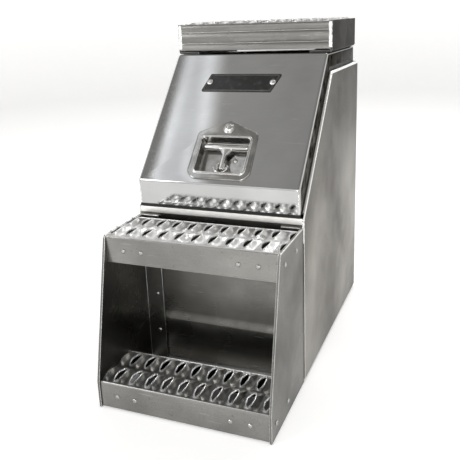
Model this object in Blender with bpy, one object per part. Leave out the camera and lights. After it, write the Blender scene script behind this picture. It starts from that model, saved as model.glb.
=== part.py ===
"""Aluminium step box for a truck: two riveted step treads on side plates, a
lockable box behind them, and a clamshell lid that carries the top tread.
X is the width, Y runs from the front to the back, Z is up; metres. The origin
is on the ground, midway across the width and the depth."""
import math

import bmesh
import bpy
from mathutils import Matrix, Vector

for old in list(bpy.data.objects):
    bpy.data.objects.remove(old, do_unlink=True)

# Sheet, plate and running clearances
GAP = 0.0003
SHEET = 0.003
PLATE = 0.0048
BEND = 0.004

# Box body: half width, depth from the lower tread, heights
DEPTH = 0.734
STEP_FRONT_Y = -DEPTH / 2.0
BOX_HALF = 0.1845
LID_INSET = 0.0062
STEP_INSET = 0.0020
END_OVERHANG = 0.0047
FRONT_Y = STEP_FRONT_Y + 0.217
REAR_Y = STEP_FRONT_Y + DEPTH
BASE_Z = 0.0064
SILL_Z = 0.360
TOP_Z = 0.624
TOP_FRONT_Y = FRONT_Y + 0.235
RIM = 0.025
SILL_DEPTH = 0.025

# Lid: outer faces of the skirt, door, deck and rear
LID_HALF = BOX_HALF - LID_INSET
SKIRT_Y = FRONT_Y - 0.005
DOOR_Y0, DOOR_Z0 = FRONT_Y - 0.007, SILL_Z + 0.060
DOOR_Y1, DECK_Z = TOP_FRONT_Y - 0.016, TOP_Z + 0.040
LID_REAR_Y = REAR_Y - 0.023
SEAL_H = 0.0080
SEAL_W = 0.0080

# Step plates and treads
STEP_HALF = BOX_HALF - STEP_INSET
LOWER_TOP_Z = 0.057
UPPER_TOP_Z = SILL_Z - 0.018
STEP_TOP_Y = STEP_FRONT_Y + 0.0677
STEP_CORNER = 0.006
MOUNT_FLANGE = 0.045
LOWER_Y = STEP_FRONT_Y + 0.003
UPPER_Y = STEP_FRONT_Y + 0.069
TREAD_H = 0.055
TOP_Y = DOOR_Y1 + 0.017
TOP_TREAD_Z = DECK_Z + 0.067
TOP_TREAD_H = 0.058
TOP_END_HALF = LID_HALF + END_OVERHANG
TOP_END_T = 0.004
TOP_LIP = 0.050

# Raised-tooth pattern: pitch across, row pitch, opening, rims and teeth
PITCH = 0.0350
ROW = 0.0603
EDGE = 0.0032
OPEN_A = 0.0235
OPEN_B = 0.0085
RIM_OUT = 0.0038
RIM_UP = 0.0036
TOOTH = 0.0011
DISH = 0.0050
RING = 12

# Rivets and brackets
RIVET_R = 0.0024
RIVET_HEAD = 0.0052
HOLE_R = RIVET_R + GAP
RIVET_SIDES = 10
ROUND = 12
BRACKET_H = 0.030
BRACKET_DROP = 0.014
BRACKET_RUN = 0.112
BRACKET_ARM = 0.090
FLANGE_RIVET_X = (STEP_HALF - 0.0815, STEP_HALF - 0.0425)
SIDE_RIVET_Y = (0.024, 0.097)
RIVET_DROP = 0.029
MOUNT_RIVET_X = STEP_HALF - 0.0305
MOUNT_RIVET_Z = (0.070, 0.159, 0.248)

# Hinge
PIN_Y, PIN_Z = LID_REAR_Y + 0.005, TOP_Z + 0.0055
PIN_R = 0.0022
KNUCKLE_R = 0.0045
KNUCKLES = 9
LEAF = 0.002

collection = bpy.data.collections.new("truck_step_box")
cutters = bpy.data.collections.new("cutters")
bpy.context.scene.collection.children.link(collection)
bpy.context.scene.collection.children.link(cutters)


def material(name, colour, roughness, metallic):
    mat = bpy.data.materials.new(name)
    mat.use_nodes = True
    shader = mat.node_tree.nodes["Principled BSDF"]
    shader.inputs["Base Color"].default_value = (*colour, 1.0)
    shader.inputs["Roughness"].default_value = roughness
    shader.inputs["Metallic"].default_value = metallic
    return mat


LOOKS = {
    "mill": ((0.56, 0.56, 0.55), 0.42, 1.0),
    "polished": ((0.72, 0.73, 0.74), 0.18, 1.0),
    "steel": ((0.62, 0.62, 0.62), 0.22, 1.0),
    "rubber": ((0.012, 0.012, 0.013), 0.75, 0.0),
    "black": ((0.010, 0.010, 0.011), 0.35, 0.0),
}


def mesh_object(name, bm, look=None):
    """Turn a bmesh into an object: a part when it has a look, else a cutter."""
    bmesh.ops.recalc_face_normals(bm, faces=bm.faces)
    if bm.calc_volume(signed=True) < 0.0:
        bmesh.ops.reverse_faces(bm, faces=bm.faces)
    mesh = bpy.data.meshes.new(name)
    bm.to_mesh(mesh)
    bm.free()
    item = bpy.data.objects.new(name, mesh)
    if look:
        collection.objects.link(item)
        item.data.materials.append(material(name, *LOOKS[look]))
    else:
        cutters.objects.link(item)
        item.hide_render = True
        item.display_type = "WIRE"
    return item


def boolean(item, tool, operation):
    mod = item.modifiers.new(operation.lower(), "BOOLEAN")
    mod.operation = operation
    mod.solver = "EXACT"
    mod.object = tool
    return mod


def prism(bm, outline, low, high, frame):
    """Extrude a flat outline from low to high along the third axis of frame."""
    verts = [bm.verts.new(frame @ Vector((u, v, low))) for u, v in outline]
    face = bm.faces.new(verts)
    run = bmesh.ops.extrude_face_region(bm, geom=[face])
    top = [g for g in run["geom"] if isinstance(g, bmesh.types.BMVert)]
    shift = frame.to_3x3() @ Vector((0.0, 0.0, high - low))
    bmesh.ops.translate(bm, verts=top, vec=shift)


def axes(u, v, n, origin=(0.0, 0.0, 0.0)):
    rot = Matrix((u, v, n)).transposed().to_4x4()
    return Matrix.Translation(origin) @ rot


ACROSS = axes((0, 1, 0), (0, 0, 1), (1, 0, 0))
PLAN = axes((1, 0, 0), (0, 1, 0), (0, 0, 1))
slope = Vector((0.0, DOOR_Y1 - DOOR_Y0, DECK_Z - DOOR_Z0)).normalized()
DOOR = axes((1, 0, 0), slope, (0.0, -slope.z, slope.y), (0.0, DOOR_Y0, DOOR_Z0))


def rounded(path, radius, steps=3, closed=False):
    """Replace the corners of a path by arcs of the given radius."""
    pts = [Vector(p) for p in path]
    out = []
    for i, p in enumerate(pts):
        if not closed and i in (0, len(pts) - 1):
            out.append(p)
            continue
        a = (pts[i - 1] - p).normalized()
        b = (pts[(i + 1) % len(pts)] - p).normalized()
        half = a.angle(b) / 2.0
        reach = radius / math.tan(half)
        centre = p + (a + b).normalized() * (radius / math.sin(half))
        start = p + a * reach - centre
        end = p + b * reach - centre
        for k in range(steps + 1):
            out.append(centre + start.lerp(end, k / steps).normalized() * radius)
    return out


def offset(path, distance):
    """Shift an open path to its left by distance, with mitred corners."""
    out = []
    for i, p in enumerate(path):
        sides = []
        if i:
            sides.append((p - path[i - 1]).normalized())
        if i < len(path) - 1:
            sides.append((path[i + 1] - p).normalized())
        norms = [Vector((-s.y, s.x)) for s in sides]
        mean = sum(norms, Vector((0.0, 0.0))).normalized()
        out.append(p + mean * (distance / mean.dot(norms[0])))
    return out


def folded(path, thickness, radius=BEND):
    """Closed section of a sheet whose outer face follows path; inside is right."""
    outer = rounded(path, radius) if len(path) > 2 else [Vector(p) for p in path]
    return outer + list(reversed(offset(outer, -thickness)))


def block(bm, x, y, z, frame=None):
    size = (x[1] - x[0], y[1] - y[0], z[1] - z[0])
    centre = Vector(((x[0] + x[1]) / 2, (y[0] + y[1]) / 2, (z[0] + z[1]) / 2))
    place = (frame or Matrix()) @ Matrix.Translation(centre) @ Matrix.Diagonal((*size, 1.0))
    bmesh.ops.create_cube(bm, size=1.0, matrix=place)


def rod(bm, radius, start, end, segments=ROUND):
    start, end = Vector(start), Vector(end)
    axis = end - start
    facing = axis.to_track_quat("Z", "Y").to_matrix().to_4x4()
    place = Matrix.Translation((start + end) / 2) @ facing
    bmesh.ops.create_cone(bm, cap_ends=True, segments=segments, radius1=radius,
                          radius2=radius, depth=axis.length, matrix=place)


def turned(bm, profile, start, direction, segments=ROUND):
    """Closed solid of revolution: profile of (radius, height) from axis to axis."""
    facing = Vector(direction).to_track_quat("Z", "Y").to_matrix().to_4x4()
    place = Matrix.Translation(start) @ facing
    rings = []
    for radius, height in profile[1:-1]:
        ring = []
        for k in range(segments):
            turn = 2.0 * math.pi * (k + 0.5) / segments
            point = Vector((radius * math.cos(turn), radius * math.sin(turn), height))
            ring.append(bm.verts.new(place @ point))
        rings.append(ring)
    first = bm.verts.new(place @ Vector((0.0, 0.0, profile[0][1])))
    last = bm.verts.new(place @ Vector((0.0, 0.0, profile[-1][1])))
    for k in range(segments):
        j = (k + 1) % segments
        bm.faces.new((first, rings[0][j], rings[0][k]))
        bm.faces.new((last, rings[-1][k], rings[-1][j]))
        for low, high in zip(rings, rings[1:]):
            bm.faces.new((low[k], low[j], high[j], high[k]))


def rivet(name, seat, inward, grip):
    """Domed head on the seat, shank through the grip, small tail behind."""
    dome, tail, close = 0.0024, RIVET_R * 1.5, grip + 0.0018
    profile = [
        (0.0, -dome - GAP), (RIVET_HEAD * 0.6, -dome * 0.75 - GAP), (RIVET_HEAD, -GAP),
        (RIVET_R, -GAP), (RIVET_R, grip + GAP), (tail, grip + GAP),
        (tail * 0.7, close), (0.0, close),
    ]
    bm = bmesh.new()
    turned(bm, profile, Vector(seat), Vector(inward), RIVET_SIDES)
    mesh_object(name, bm, "steel")


# Raised-tooth plank: one cell, repeated over the plank, then trimmed to length
def cell_border():
    """Border of one cell, counter-clockwise, three points to a side."""
    points = []
    for corner in range(4):
        turn = Matrix.Rotation(math.pi / 2.0 * corner, 2)
        for third in (-1.0, -1.0 / 3.0, 1.0 / 3.0):
            p = turn @ Vector((1.0, third))
            points.append((p.x * PITCH / 2.0, p.y * ROW / 2.0))
    return points


def cell_border_height(x, y):
    """The sheet dips between openings side by side, less between the rows."""
    if abs(y) > 0.49 * ROW:
        return -0.0022 if abs(x) > 0.49 * PITCH else -0.0010
    return -DISH


def add_cell(bm, shared, cx, cy, origin):
    """One opening: dished sheet, raised rim with teeth, wall and underside."""
    rings = [[], [], [], [], []]
    for k, (x, y) in enumerate(cell_border()):
        turn = math.atan2(y / ROW, x / PITCH)
        c, s = math.cos(turn), math.sin(turn)
        fx = math.copysign(abs(c) ** 1.25, c)
        fy = math.copysign(abs(s) ** 1.25, s)
        foot = -0.0008 - 0.0024 * abs(c)
        crest = RIM_UP * (0.25 + 0.75 * abs(c)) + (TOOTH if k % 2 else -TOOTH)
        key = (round(6.0 * (cx + x) / PITCH), round(6.0 * (cy + y) / ROW))
        if key not in shared:
            at = origin + Vector((cx + x, cy + y, cell_border_height(x, y)))
            shared[key] = bm.verts.new(at), bm.verts.new(at - Vector((0.0, 0.0, SHEET)))
        ax, ay = (OPEN_B + RIM_OUT) * fx, (OPEN_A + RIM_OUT * 0.8) * fy
        bx, by = OPEN_B * fx, OPEN_A * fy
        rings[0].append(shared[key][0])
        rings[1].append(bm.verts.new(origin + Vector((cx + ax, cy + ay, foot))))
        rings[2].append(bm.verts.new(origin + Vector((cx + bx, cy + by, crest))))
        rings[3].append(bm.verts.new(origin + Vector((cx + bx, cy + by, foot - SHEET))))
        rings[4].append(shared[key][1])
    for low, high in zip(rings, rings[1:]):
        for k in range(RING):
            j = (k + 1) % RING
            bm.faces.new((low[k], low[j], high[j], high[k]))


def plank(name, half, front, rows, top, height, phase, holes=()):
    """Channel plank: patterned sheet joined to a folded front and rear flange."""
    columns = int(math.ceil(half / PITCH)) + 1
    origin = Vector((phase, front + EDGE, top))
    shared = {}
    bm = bmesh.new()
    for i in range(-columns, columns + 1):
        for j in range(rows):
            add_cell(bm, shared, i * PITCH, (j + 0.5) * ROW, origin)
    mates = dict(shared.values())
    for edge in [e for e in bm.edges if len(e.link_faces) == 1]:
        a, b = edge.verts
        if a in mates and b in mates:
            bm.faces.new((a, b, mates[b], mates[a]))
    item = mesh_object(name, bm, "mill")
    depth = rows * ROW + 2.0 * EDGE
    lip = EDGE + 0.0012
    for tag, y, way in (("front", front, 1.0), ("rear", front + depth, -1.0)):
        path = [(y, top - height), (y, top), (y + way * lip, top)]
        outer = rounded(path, SHEET + 0.0006, 2)
        inner = offset(outer, -SHEET * way)
        bm = bmesh.new()
        prism(bm, outer + list(reversed(inner)), -half - 0.007, half + 0.007, ACROSS)
        boolean(item, mesh_object(name + "_" + tag, bm), "UNION")
    bm = bmesh.new()
    for way in (-1.0, 1.0):
        span = sorted((way * half, way * (half + 4.0 * PITCH)))
        block(bm, span, (front - 0.02, front + depth + 0.02), (top - height - 0.01, top + 0.03))
    for radius, start, end in holes:
        rod(bm, radius, start, end)
    boolean(item, mesh_object(name + "_length", bm), "DIFFERENCE")
    return item


def drill(item, name, holes):
    """Cut round holes, each given by radius, start and end."""
    bm = bmesh.new()
    for radius, start, end in holes:
        rod(bm, radius, start, end)
    boolean(item, mesh_object(name, bm), "DIFFERENCE")


# Side panels with the rim folded in along the slope and the top
slant = Vector((TOP_FRONT_Y - FRONT_Y, TOP_Z - SILL_Z)).normalized()
RIM_SETBACK = 0.0145
RIM_END = RIM + 0.0037
rim_start = Vector((FRONT_Y, SILL_Z)) + slant * RIM_SETBACK
for side, way in (("left", -1.0), ("right", 1.0)):
    bm = bmesh.new()
    outline = [(FRONT_Y, BASE_Z), (REAR_Y, BASE_Z), (REAR_Y, TOP_Z)]
    outline += [(TOP_FRONT_Y, TOP_Z), (FRONT_Y, SILL_Z)]
    span = sorted((way * BOX_HALF, way * (BOX_HALF - SHEET)))
    prism(bm, outline, *span, ACROSS)
    panel = mesh_object("side_panel_" + side, bm, "mill")
    bm = bmesh.new()
    path = [rim_start, Vector((TOP_FRONT_Y, TOP_Z)), Vector((REAR_Y - RIM_END, TOP_Z))]
    strip = path + list(reversed(offset(path, -SHEET)))
    span = sorted((way * BOX_HALF, way * (BOX_HALF - RIM)))
    prism(bm, strip, *span, ACROSS)
    boolean(panel, mesh_object("rim_fold_" + side, bm), "UNION")

inner_half = BOX_HALF - SHEET - GAP

# Front wall with the sill folded back at its top
bm = bmesh.new()
path = [(FRONT_Y, BASE_Z), (FRONT_Y, SILL_Z), (FRONT_Y + SILL_DEPTH, SILL_Z)]
prism(bm, folded(path, SHEET), -inner_half, inner_half, ACROSS)
front_wall = mesh_object("front_wall", bm, "polished")

# Rear panel with its rim folded forward under the hinge
bm = bmesh.new()
path = [(REAR_Y - RIM - 0.003, TOP_Z), (REAR_Y, TOP_Z), (REAR_Y, BASE_Z)]
prism(bm, folded(path, SHEET), -inner_half, inner_half, ACROSS)
mesh_object("rear_panel", bm, "mill")

bm = bmesh.new()
run = (FRONT_Y + SHEET + GAP, REAR_Y - SHEET - GAP)
block(bm, (-inner_half, inner_half), run, (BASE_Z, BASE_Z + SHEET))
mesh_object("floor_panel", bm, "mill")

# Bulb seal round the opening, on the sill, both slopes, the top and the rear
SEAL_OVER = -0.0015
lid_gap = SEAL_H + GAP
lift = Vector((-slant.y, slant.x))
bm = bmesh.new()
for way in (-1.0, 1.0):
    base = [Vector((FRONT_Y + SHEET + 0.0008, 0.0)), Vector((TOP_FRONT_Y, TOP_Z))]
    base.append(Vector((LID_REAR_Y, TOP_Z)))
    base[0].y = SILL_Z + (base[0].x - FRONT_Y) * slant.y / slant.x
    low = offset(base, GAP)
    high = offset(base, SEAL_H)
    low[0].x = high[0].x = base[0].x
    low[0].y = base[0].y + GAP / slant.x
    high[0].y = base[0].y + SEAL_H / slant.x
    span = sorted((way * (LID_HALF + SEAL_OVER), way * (LID_HALF + SEAL_OVER - SEAL_W)))
    prism(bm, low + list(reversed(high)), *span, ACROSS)
seal = mesh_object("lid_seal", bm, "rubber")
bm = bmesh.new()
edge = LID_HALF + SEAL_OVER
block(bm, (-edge, edge), (FRONT_Y + GAP, FRONT_Y + SEAL_W), (SILL_Z + GAP, SILL_Z + SEAL_H))
boolean(seal, mesh_object("sill_run", bm), "UNION")
bm = bmesh.new()
run = (LID_REAR_Y - 0.0065, LID_REAR_Y - 0.0004)
block(bm, (-edge + 0.001, edge - 0.001), run, (TOP_Z + 0.0005, TOP_Z + SEAL_H - 0.0002))
boolean(seal, mesh_object("rear_run", bm), "UNION")

# Step plates: the front edge leans back above the lower tread
for side, way in (("left", -1.0), ("right", 1.0)):
    bm = bmesh.new()
    rear = FRONT_Y - GAP
    outline = [(STEP_FRONT_Y, 0.0), (rear, 0.0), (rear, UPPER_TOP_Z)]
    outline += [(STEP_TOP_Y, UPPER_TOP_Z), (STEP_FRONT_Y, LOWER_TOP_Z)]
    corner = rounded(outline, STEP_CORNER, 3, closed=True)
    outline = outline[:3] + [tuple(p) for p in corner[12:16]] + [outline[4]]
    span = sorted((way * STEP_HALF, way * (STEP_HALF - PLATE)))
    prism(bm, outline, *span, ACROSS)
    plate = mesh_object("step_plate_" + side, bm, "mill")
    bm = bmesh.new()
    span = sorted((way * (STEP_HALF - 0.001), way * (STEP_HALF - MOUNT_FLANGE)))
    block(bm, span, (rear - PLATE, rear), (0.0, UPPER_TOP_Z))
    boolean(plate, mesh_object("mount_flange_" + side, bm), "UNION")
    holes = []
    for front, top in ((LOWER_Y, LOWER_TOP_Z), (UPPER_Y, UPPER_TOP_Z)):
        for run in SIDE_RIVET_Y:
            at = (front + run, top - RIVET_DROP)
            holes.append((HOLE_R, (way * (STEP_HALF - 0.01), *at), (way * (STEP_HALF + 0.01), *at)))
    x = way * MOUNT_RIVET_X
    for z in MOUNT_RIVET_Z:
        holes.append((HOLE_R, (x, rear - 0.01, z), (x, rear + 0.001, z)))
    drill(plate, "plate_holes_" + side, holes)

holes = []
for way in (-1.0, 1.0):
    x = way * MOUNT_RIVET_X
    for z in MOUNT_RIVET_Z:
        holes.append((HOLE_R, (x, FRONT_Y - 0.002, z), (x, FRONT_Y + 0.006, z)))
drill(front_wall, "wall_holes", holes)

# Treads, their end brackets and their rivets
tread_half = STEP_HALF - PLATE - GAP
levels = (("lower", LOWER_Y, LOWER_TOP_Z, -0.009), ("upper", UPPER_Y, UPPER_TOP_Z, 0.004))
for level, front, top, phase in levels:
    z = top - RIVET_DROP
    holes = []
    for side, way in (("left", -1.0), ("right", 1.0)):
        label = level + "_rivet_" + side
        for k, x in enumerate(FLANGE_RIVET_X):
            holes.append((HOLE_R, (way * x, front - 0.003, z), (way * x, front + 0.006, z)))
            rivet(f"{label}_front_{k + 1}", (way * x, front, z), (0, 1, 0), 2 * SHEET + GAP)
        for k, run in enumerate(SIDE_RIVET_Y):
            seat = (way * STEP_HALF, front + run, z)
            rivet(f"{label}_end_{k + 1}", seat, (-way, 0, 0), PLATE + SHEET + 2 * GAP)
    plank(level + "_tread", tread_half, front, 2, top, TREAD_H, phase, holes)
    for side, way in (("left", -1.0), ("right", 1.0)):
        y0 = front + SHEET + GAP
        path = [(tread_half, y0 + BRACKET_RUN), (tread_half, y0), (tread_half - BRACKET_ARM, y0)]
        section = folded(path, SHEET, 0.005)
        crest = top - BRACKET_DROP
        bm = bmesh.new()
        prism(bm, [(way * p.x, p.y) for p in section], crest - BRACKET_H, crest, PLAN)
        bracket = mesh_object(level + "_bracket_" + side, bm, "mill")
        holes = []
        for x in FLANGE_RIVET_X:
            holes.append((HOLE_R, (way * x, y0 - 0.002, z), (way * x, y0 + 0.005, z)))
        for run in SIDE_RIVET_Y:
            at = (front + run, z)
            holes.append((HOLE_R, (way * (tread_half - 0.006), *at), (way * (tread_half + 0.002), *at)))
        drill(bracket, level + "_bracket_holes_" + side, holes)

for side, way in (("left", -1.0), ("right", 1.0)):
    for k, z in enumerate(MOUNT_RIVET_Z):
        seat = (way * MOUNT_RIVET_X, FRONT_Y - GAP - PLATE, z)
        rivet(f"mount_rivet_{side}_{k + 1}", seat, (0, 1, 0), PLATE + SHEET + GAP)

# Lid: skirt, door, deck and rear in one folded sheet, with side flanges
LID_LOW = TOP_Z + lid_gap
skirt_z = SILL_Z + lid_gap
bm = bmesh.new()
path = [(SKIRT_Y, skirt_z), (DOOR_Y0, DOOR_Z0), (DOOR_Y1, DECK_Z)]
path += [(LID_REAR_Y, DECK_Z), (LID_REAR_Y, LID_LOW)]
prism(bm, folded(path, SHEET), -LID_HALF, LID_HALF, ACROSS)
lid = mesh_object("lid_shell", bm, "polished")
rim = [Vector((FRONT_Y, SILL_Z)), Vector((TOP_FRONT_Y, TOP_Z)), Vector((REAR_Y, TOP_Z))]
seat = offset(rim, lid_gap)
inner_skirt_y = SKIRT_Y + SHEET * 0.95
foot_z = seat[0].y + (inner_skirt_y - seat[0].x) * slant.y / slant.x
outer = rounded(path, BEND)
flange = outer + [seat[1], Vector((inner_skirt_y, foot_z)), Vector((inner_skirt_y, skirt_z))]
for side, way in (("left", -1.0), ("right", 1.0)):
    bm = bmesh.new()
    span = sorted((way * LID_HALF, way * (LID_HALF - SHEET)))
    prism(bm, flange, *span, ACROSS)
    boolean(lid, mesh_object("lid_flange_" + side, bm), "UNION")

# Latch tray recessed in the door
PAN_HALF = 0.0560
PAN_V = (0.0250, 0.1120)
PAN_DEPTH = 0.022
TRAY_T = 0.0015
HUB_V = 0.044
PIVOT_N = -0.0085
BAR_V = 0.088
bm = bmesh.new()
reach = PAN_HALF + GAP
block(bm, (-reach, reach), (PAN_V[0] - GAP, PAN_V[1] + GAP), (-0.02, 0.02), DOOR)
boolean(lid, mesh_object("tray_opening", bm), "DIFFERENCE")
BOLT_V = 0.131
SHANK_R = 0.004
hole = DOOR @ Vector((0, BOLT_V, 0.01)), DOOR @ Vector((0, BOLT_V, -0.01))
drill(lid, "tray_bolt_hole", [(SHANK_R + GAP, *hole)])

half_shape = [(0.055, 0.010), (0.070, 0.025), (0.068, 0.122)]
shape = half_shape + [(0.0, 0.153)] + [(-u, v) for u, v in reversed(half_shape)]
bm = bmesh.new()
prism(bm, rounded(shape, 0.008, 2, closed=True), GAP, GAP + TRAY_T, DOOR)
tray = mesh_object("latch_tray", bm, "steel")
bm = bmesh.new()
block(bm, (-PAN_HALF, PAN_HALF), PAN_V, (-PAN_DEPTH, GAP + TRAY_T * 0.5), DOOR)
boolean(tray, mesh_object("pan_outside", bm), "UNION")
bm = bmesh.new()
reach = PAN_HALF - TRAY_T
pan_floor = -PAN_DEPTH + TRAY_T
block(bm, (-reach, reach), (PAN_V[0] + TRAY_T, PAN_V[1] - TRAY_T), (pan_floor, 0.01), DOOR)
boolean(tray, mesh_object("pan_inside", bm), "DIFFERENCE")

SHAFT_R = 0.006
SCREW_UV = (0.022, 0.0676)
hub = DOOR @ Vector((0, HUB_V, 0))
normal = (DOOR.to_3x3() @ Vector((0, 0, 1))).normalized()
drill(tray, "tray_holes", [
    (SHAFT_R + GAP, hub + normal * -0.03, hub + normal * -0.01),
    (SHANK_R + GAP, *hole),
    (HOLE_R, DOOR @ Vector((*SCREW_UV, -0.03)), DOOR @ Vector((*SCREW_UV, -0.015))),
])

# Spindle: fork, shaft, and the cam that catches under the sill
CAM_N = -0.0703
CAM_T = 0.004
bm = bmesh.new()
rod(bm, 0.013, hub + normal * (pan_floor + GAP), hub + normal * (pan_floor + 0.003), 20)
spindle = mesh_object("latch_spindle", bm, "steel")
bm = bmesh.new()
rod(bm, SHAFT_R, hub + normal * (pan_floor + 0.002), hub + normal * (CAM_N - CAM_T - 0.008), 16)
boolean(spindle, mesh_object("spindle_shaft", bm), "UNION")
for way in (-1.0, 1.0):
    bm = bmesh.new()
    span = sorted((way * 0.0053, way * 0.0093))
    block(bm, span, (HUB_V - 0.007, HUB_V + 0.007), (pan_floor + 0.002, PIVOT_N + 0.006), DOOR)
    boolean(spindle, mesh_object("fork_cheek", bm), "UNION")
pivot = DOOR @ Vector((0, HUB_V, PIVOT_N))
PIVOT_R = 0.0025
across = Vector((1.0, 0.0, 0.0))
drill(spindle, "fork_hole", [(PIVOT_R + GAP, pivot - across * 0.02, pivot + across * 0.02)])
bm = bmesh.new()
rod(bm, PIVOT_R, pivot - across * 0.0108, pivot + across * 0.0108)
mesh_object("handle_pin", bm, "steel")

bm = bmesh.new()
rod(bm, 0.012, hub + normal * (-PAN_DEPTH - GAP), hub + normal * (CAM_N + 0.0035), 20)
bushing = mesh_object("spindle_bushing", bm, "steel")
drill(bushing, "bushing_bore", [(SHAFT_R + GAP, hub + normal * -0.02, hub + normal * -0.075)])
bm = bmesh.new()
cam_path = [(-0.010, HUB_V + 0.012), (-0.010, -0.037), (0.010, -0.037), (0.010, HUB_V + 0.012)]
prism(bm, rounded(cam_path, 0.006, 2, closed=True), CAM_N - CAM_T, CAM_N, DOOR)
cam = mesh_object("latch_cam", bm, "steel")
drill(cam, "cam_bore", [(SHAFT_R + GAP, hub + normal * -0.06, hub + normal * -0.085)])
bm = bmesh.new()
rod(bm, 0.0095, hub + normal * (CAM_N - CAM_T - GAP), hub + normal * (CAM_N - CAM_T - 0.0065), 6)
nut = mesh_object("cam_nut", bm, "steel")
drill(nut, "cam_nut_bore", [(SHAFT_R + GAP, hub + normal * -0.06, hub + normal * -0.1)])

# Folding T-handle, turning on its pin
handle_holder = bpy.data.objects.new("handle_axis", None)
collection.objects.link(handle_holder)
handle_holder.location = pivot
LOCAL = Matrix.Translation(-pivot) @ DOOR
BAR_R = 0.0060
bm = bmesh.new()
rod(bm, 0.0062, (-0.005, 0, 0), (0.005, 0, 0), 16)
handle = mesh_object("t_handle", bm, "steel")
handle.parent = handle_holder
STEM_HALF, STEM_DEEP = 0.0047, 0.0035
bm = bmesh.new()
block(bm, (-STEM_HALF, STEM_HALF), (HUB_V + 0.003, BAR_V - 0.002),
      (PIVOT_N - STEM_DEEP, PIVOT_N + STEM_DEEP), LOCAL)
tool = mesh_object("stem", bm)
tool.parent = handle_holder
boolean(handle, tool, "UNION")
bm = bmesh.new()
bar = LOCAL @ Vector((0, BAR_V, PIVOT_N))
BAR_HALF, BAR_ROUND = 0.050, 0.002
tip = BAR_R * 0.6
profile = [(0.0, 0.0), (tip, 0.0), (BAR_R, BAR_ROUND), (BAR_R, 2 * BAR_HALF - BAR_ROUND)]
profile += [(tip, 2 * BAR_HALF), (0.0, 2 * BAR_HALF)]
turned(bm, profile, bar - across * BAR_HALF, across, 12)
tool = mesh_object("cross_bar", bm)
tool.parent = handle_holder
boolean(handle, tool, "UNION")
bm = bmesh.new()
rod(bm, PIVOT_R + GAP, (-0.02, 0, 0), (0.02, 0, 0))
slot = (HUB_V + 0.014, HUB_V + 0.030)
block(bm, (-0.0022, 0.0022), slot, (PIVOT_N - 0.01, PIVOT_N + 0.01), LOCAL)
tool = mesh_object("pivot_bore_and_lock_slot", bm)
tool.parent = handle_holder
boolean(handle, tool, "DIFFERENCE")

# Tray bolt with its nut behind the door, and the screw in the pan
seat = DOOR @ Vector((0, BOLT_V, GAP + TRAY_T))
bm = bmesh.new()
reach = TRAY_T + SHEET + GAP
profile = [(0.0, -0.0045), (0.0055, -0.0038), (0.0088, -0.0012), (0.0088, -GAP), (SHANK_R, -GAP)]
profile += [(SHANK_R, reach + 0.008), (0.0, reach + 0.008)]
turned(bm, profile, seat, -normal, 16)
mesh_object("tray_bolt", bm, "steel")
bm = bmesh.new()
rod(bm, 0.0075, seat - normal * (reach + GAP), seat - normal * (reach + 0.0055), 6)
nut = mesh_object("tray_nut", bm, "steel")
drill(nut, "tray_nut_bore", [(SHANK_R + GAP, seat + normal * 0.01, seat - normal * 0.03)])
rivet("pan_rivet", DOOR @ Vector((*SCREW_UV, pan_floor)), -normal, TRAY_T)

# Bare name plate and its two rivets
PLATE_UV = [(-0.092, 0.229), (0.070, 0.229), (0.088, 0.276), (-0.078, 0.276)]
PLATE_RIVETS = [(-0.076, 0.2535), (0.071, 0.2535)]
NAME_T = 0.0012
bm = bmesh.new()
prism(bm, PLATE_UV, GAP, GAP + NAME_T, DOOR)
name_plate = mesh_object("name_plate", bm, "black")
cuts = [(HOLE_R, DOOR @ Vector((*p, 0.01)), DOOR @ Vector((*p, -0.01))) for p in PLATE_RIVETS]
drill(name_plate, "name_plate_holes", cuts)
drill(lid, "door_rivet_holes", cuts)
for k, p in enumerate(PLATE_RIVETS):
    rivet(f"name_plate_rivet_{k + 1}", DOOR @ Vector((*p, GAP + NAME_T)), -normal, NAME_T + GAP + SHEET)

# Top step on the deck: plank between two end plates with lips turned in
top_half = TOP_END_HALF - TOP_END_T - GAP
plank("top_tread", top_half, TOP_Y, 4, TOP_TREAD_Z, TOP_TREAD_H, -0.012)
top_depth = 4 * ROW + 2 * EDGE
deck = DECK_Z + GAP
for side, way in (("left", -1.0), ("right", 1.0)):
    bm = bmesh.new()
    path = [(TOP_END_HALF - TOP_LIP, deck), (TOP_END_HALF, deck), (TOP_END_HALF, TOP_TREAD_Z)]
    outer = rounded(path, 0.005)
    section = outer + list(reversed(offset(outer, TOP_END_T)))
    facing = axes((way, 0, 0), (0, 0, 1), (0, 1, 0))
    prism(bm, section, TOP_Y, TOP_Y + top_depth, facing)
    mesh_object("top_end_" + side, bm, "mill")
for side, way in (("left", -1.0), ("right", 1.0)):
    x, y = way * (top_half + GAP / 2.0), TOP_Y - 0.0027
    bm = bmesh.new()
    rod(bm, 0.0024, (x, y, TOP_TREAD_Z - TOP_TREAD_H), (x, y, TOP_TREAD_Z - 0.002), 8)
    mesh_object("top_weld_" + side, bm, "steel")

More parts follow.
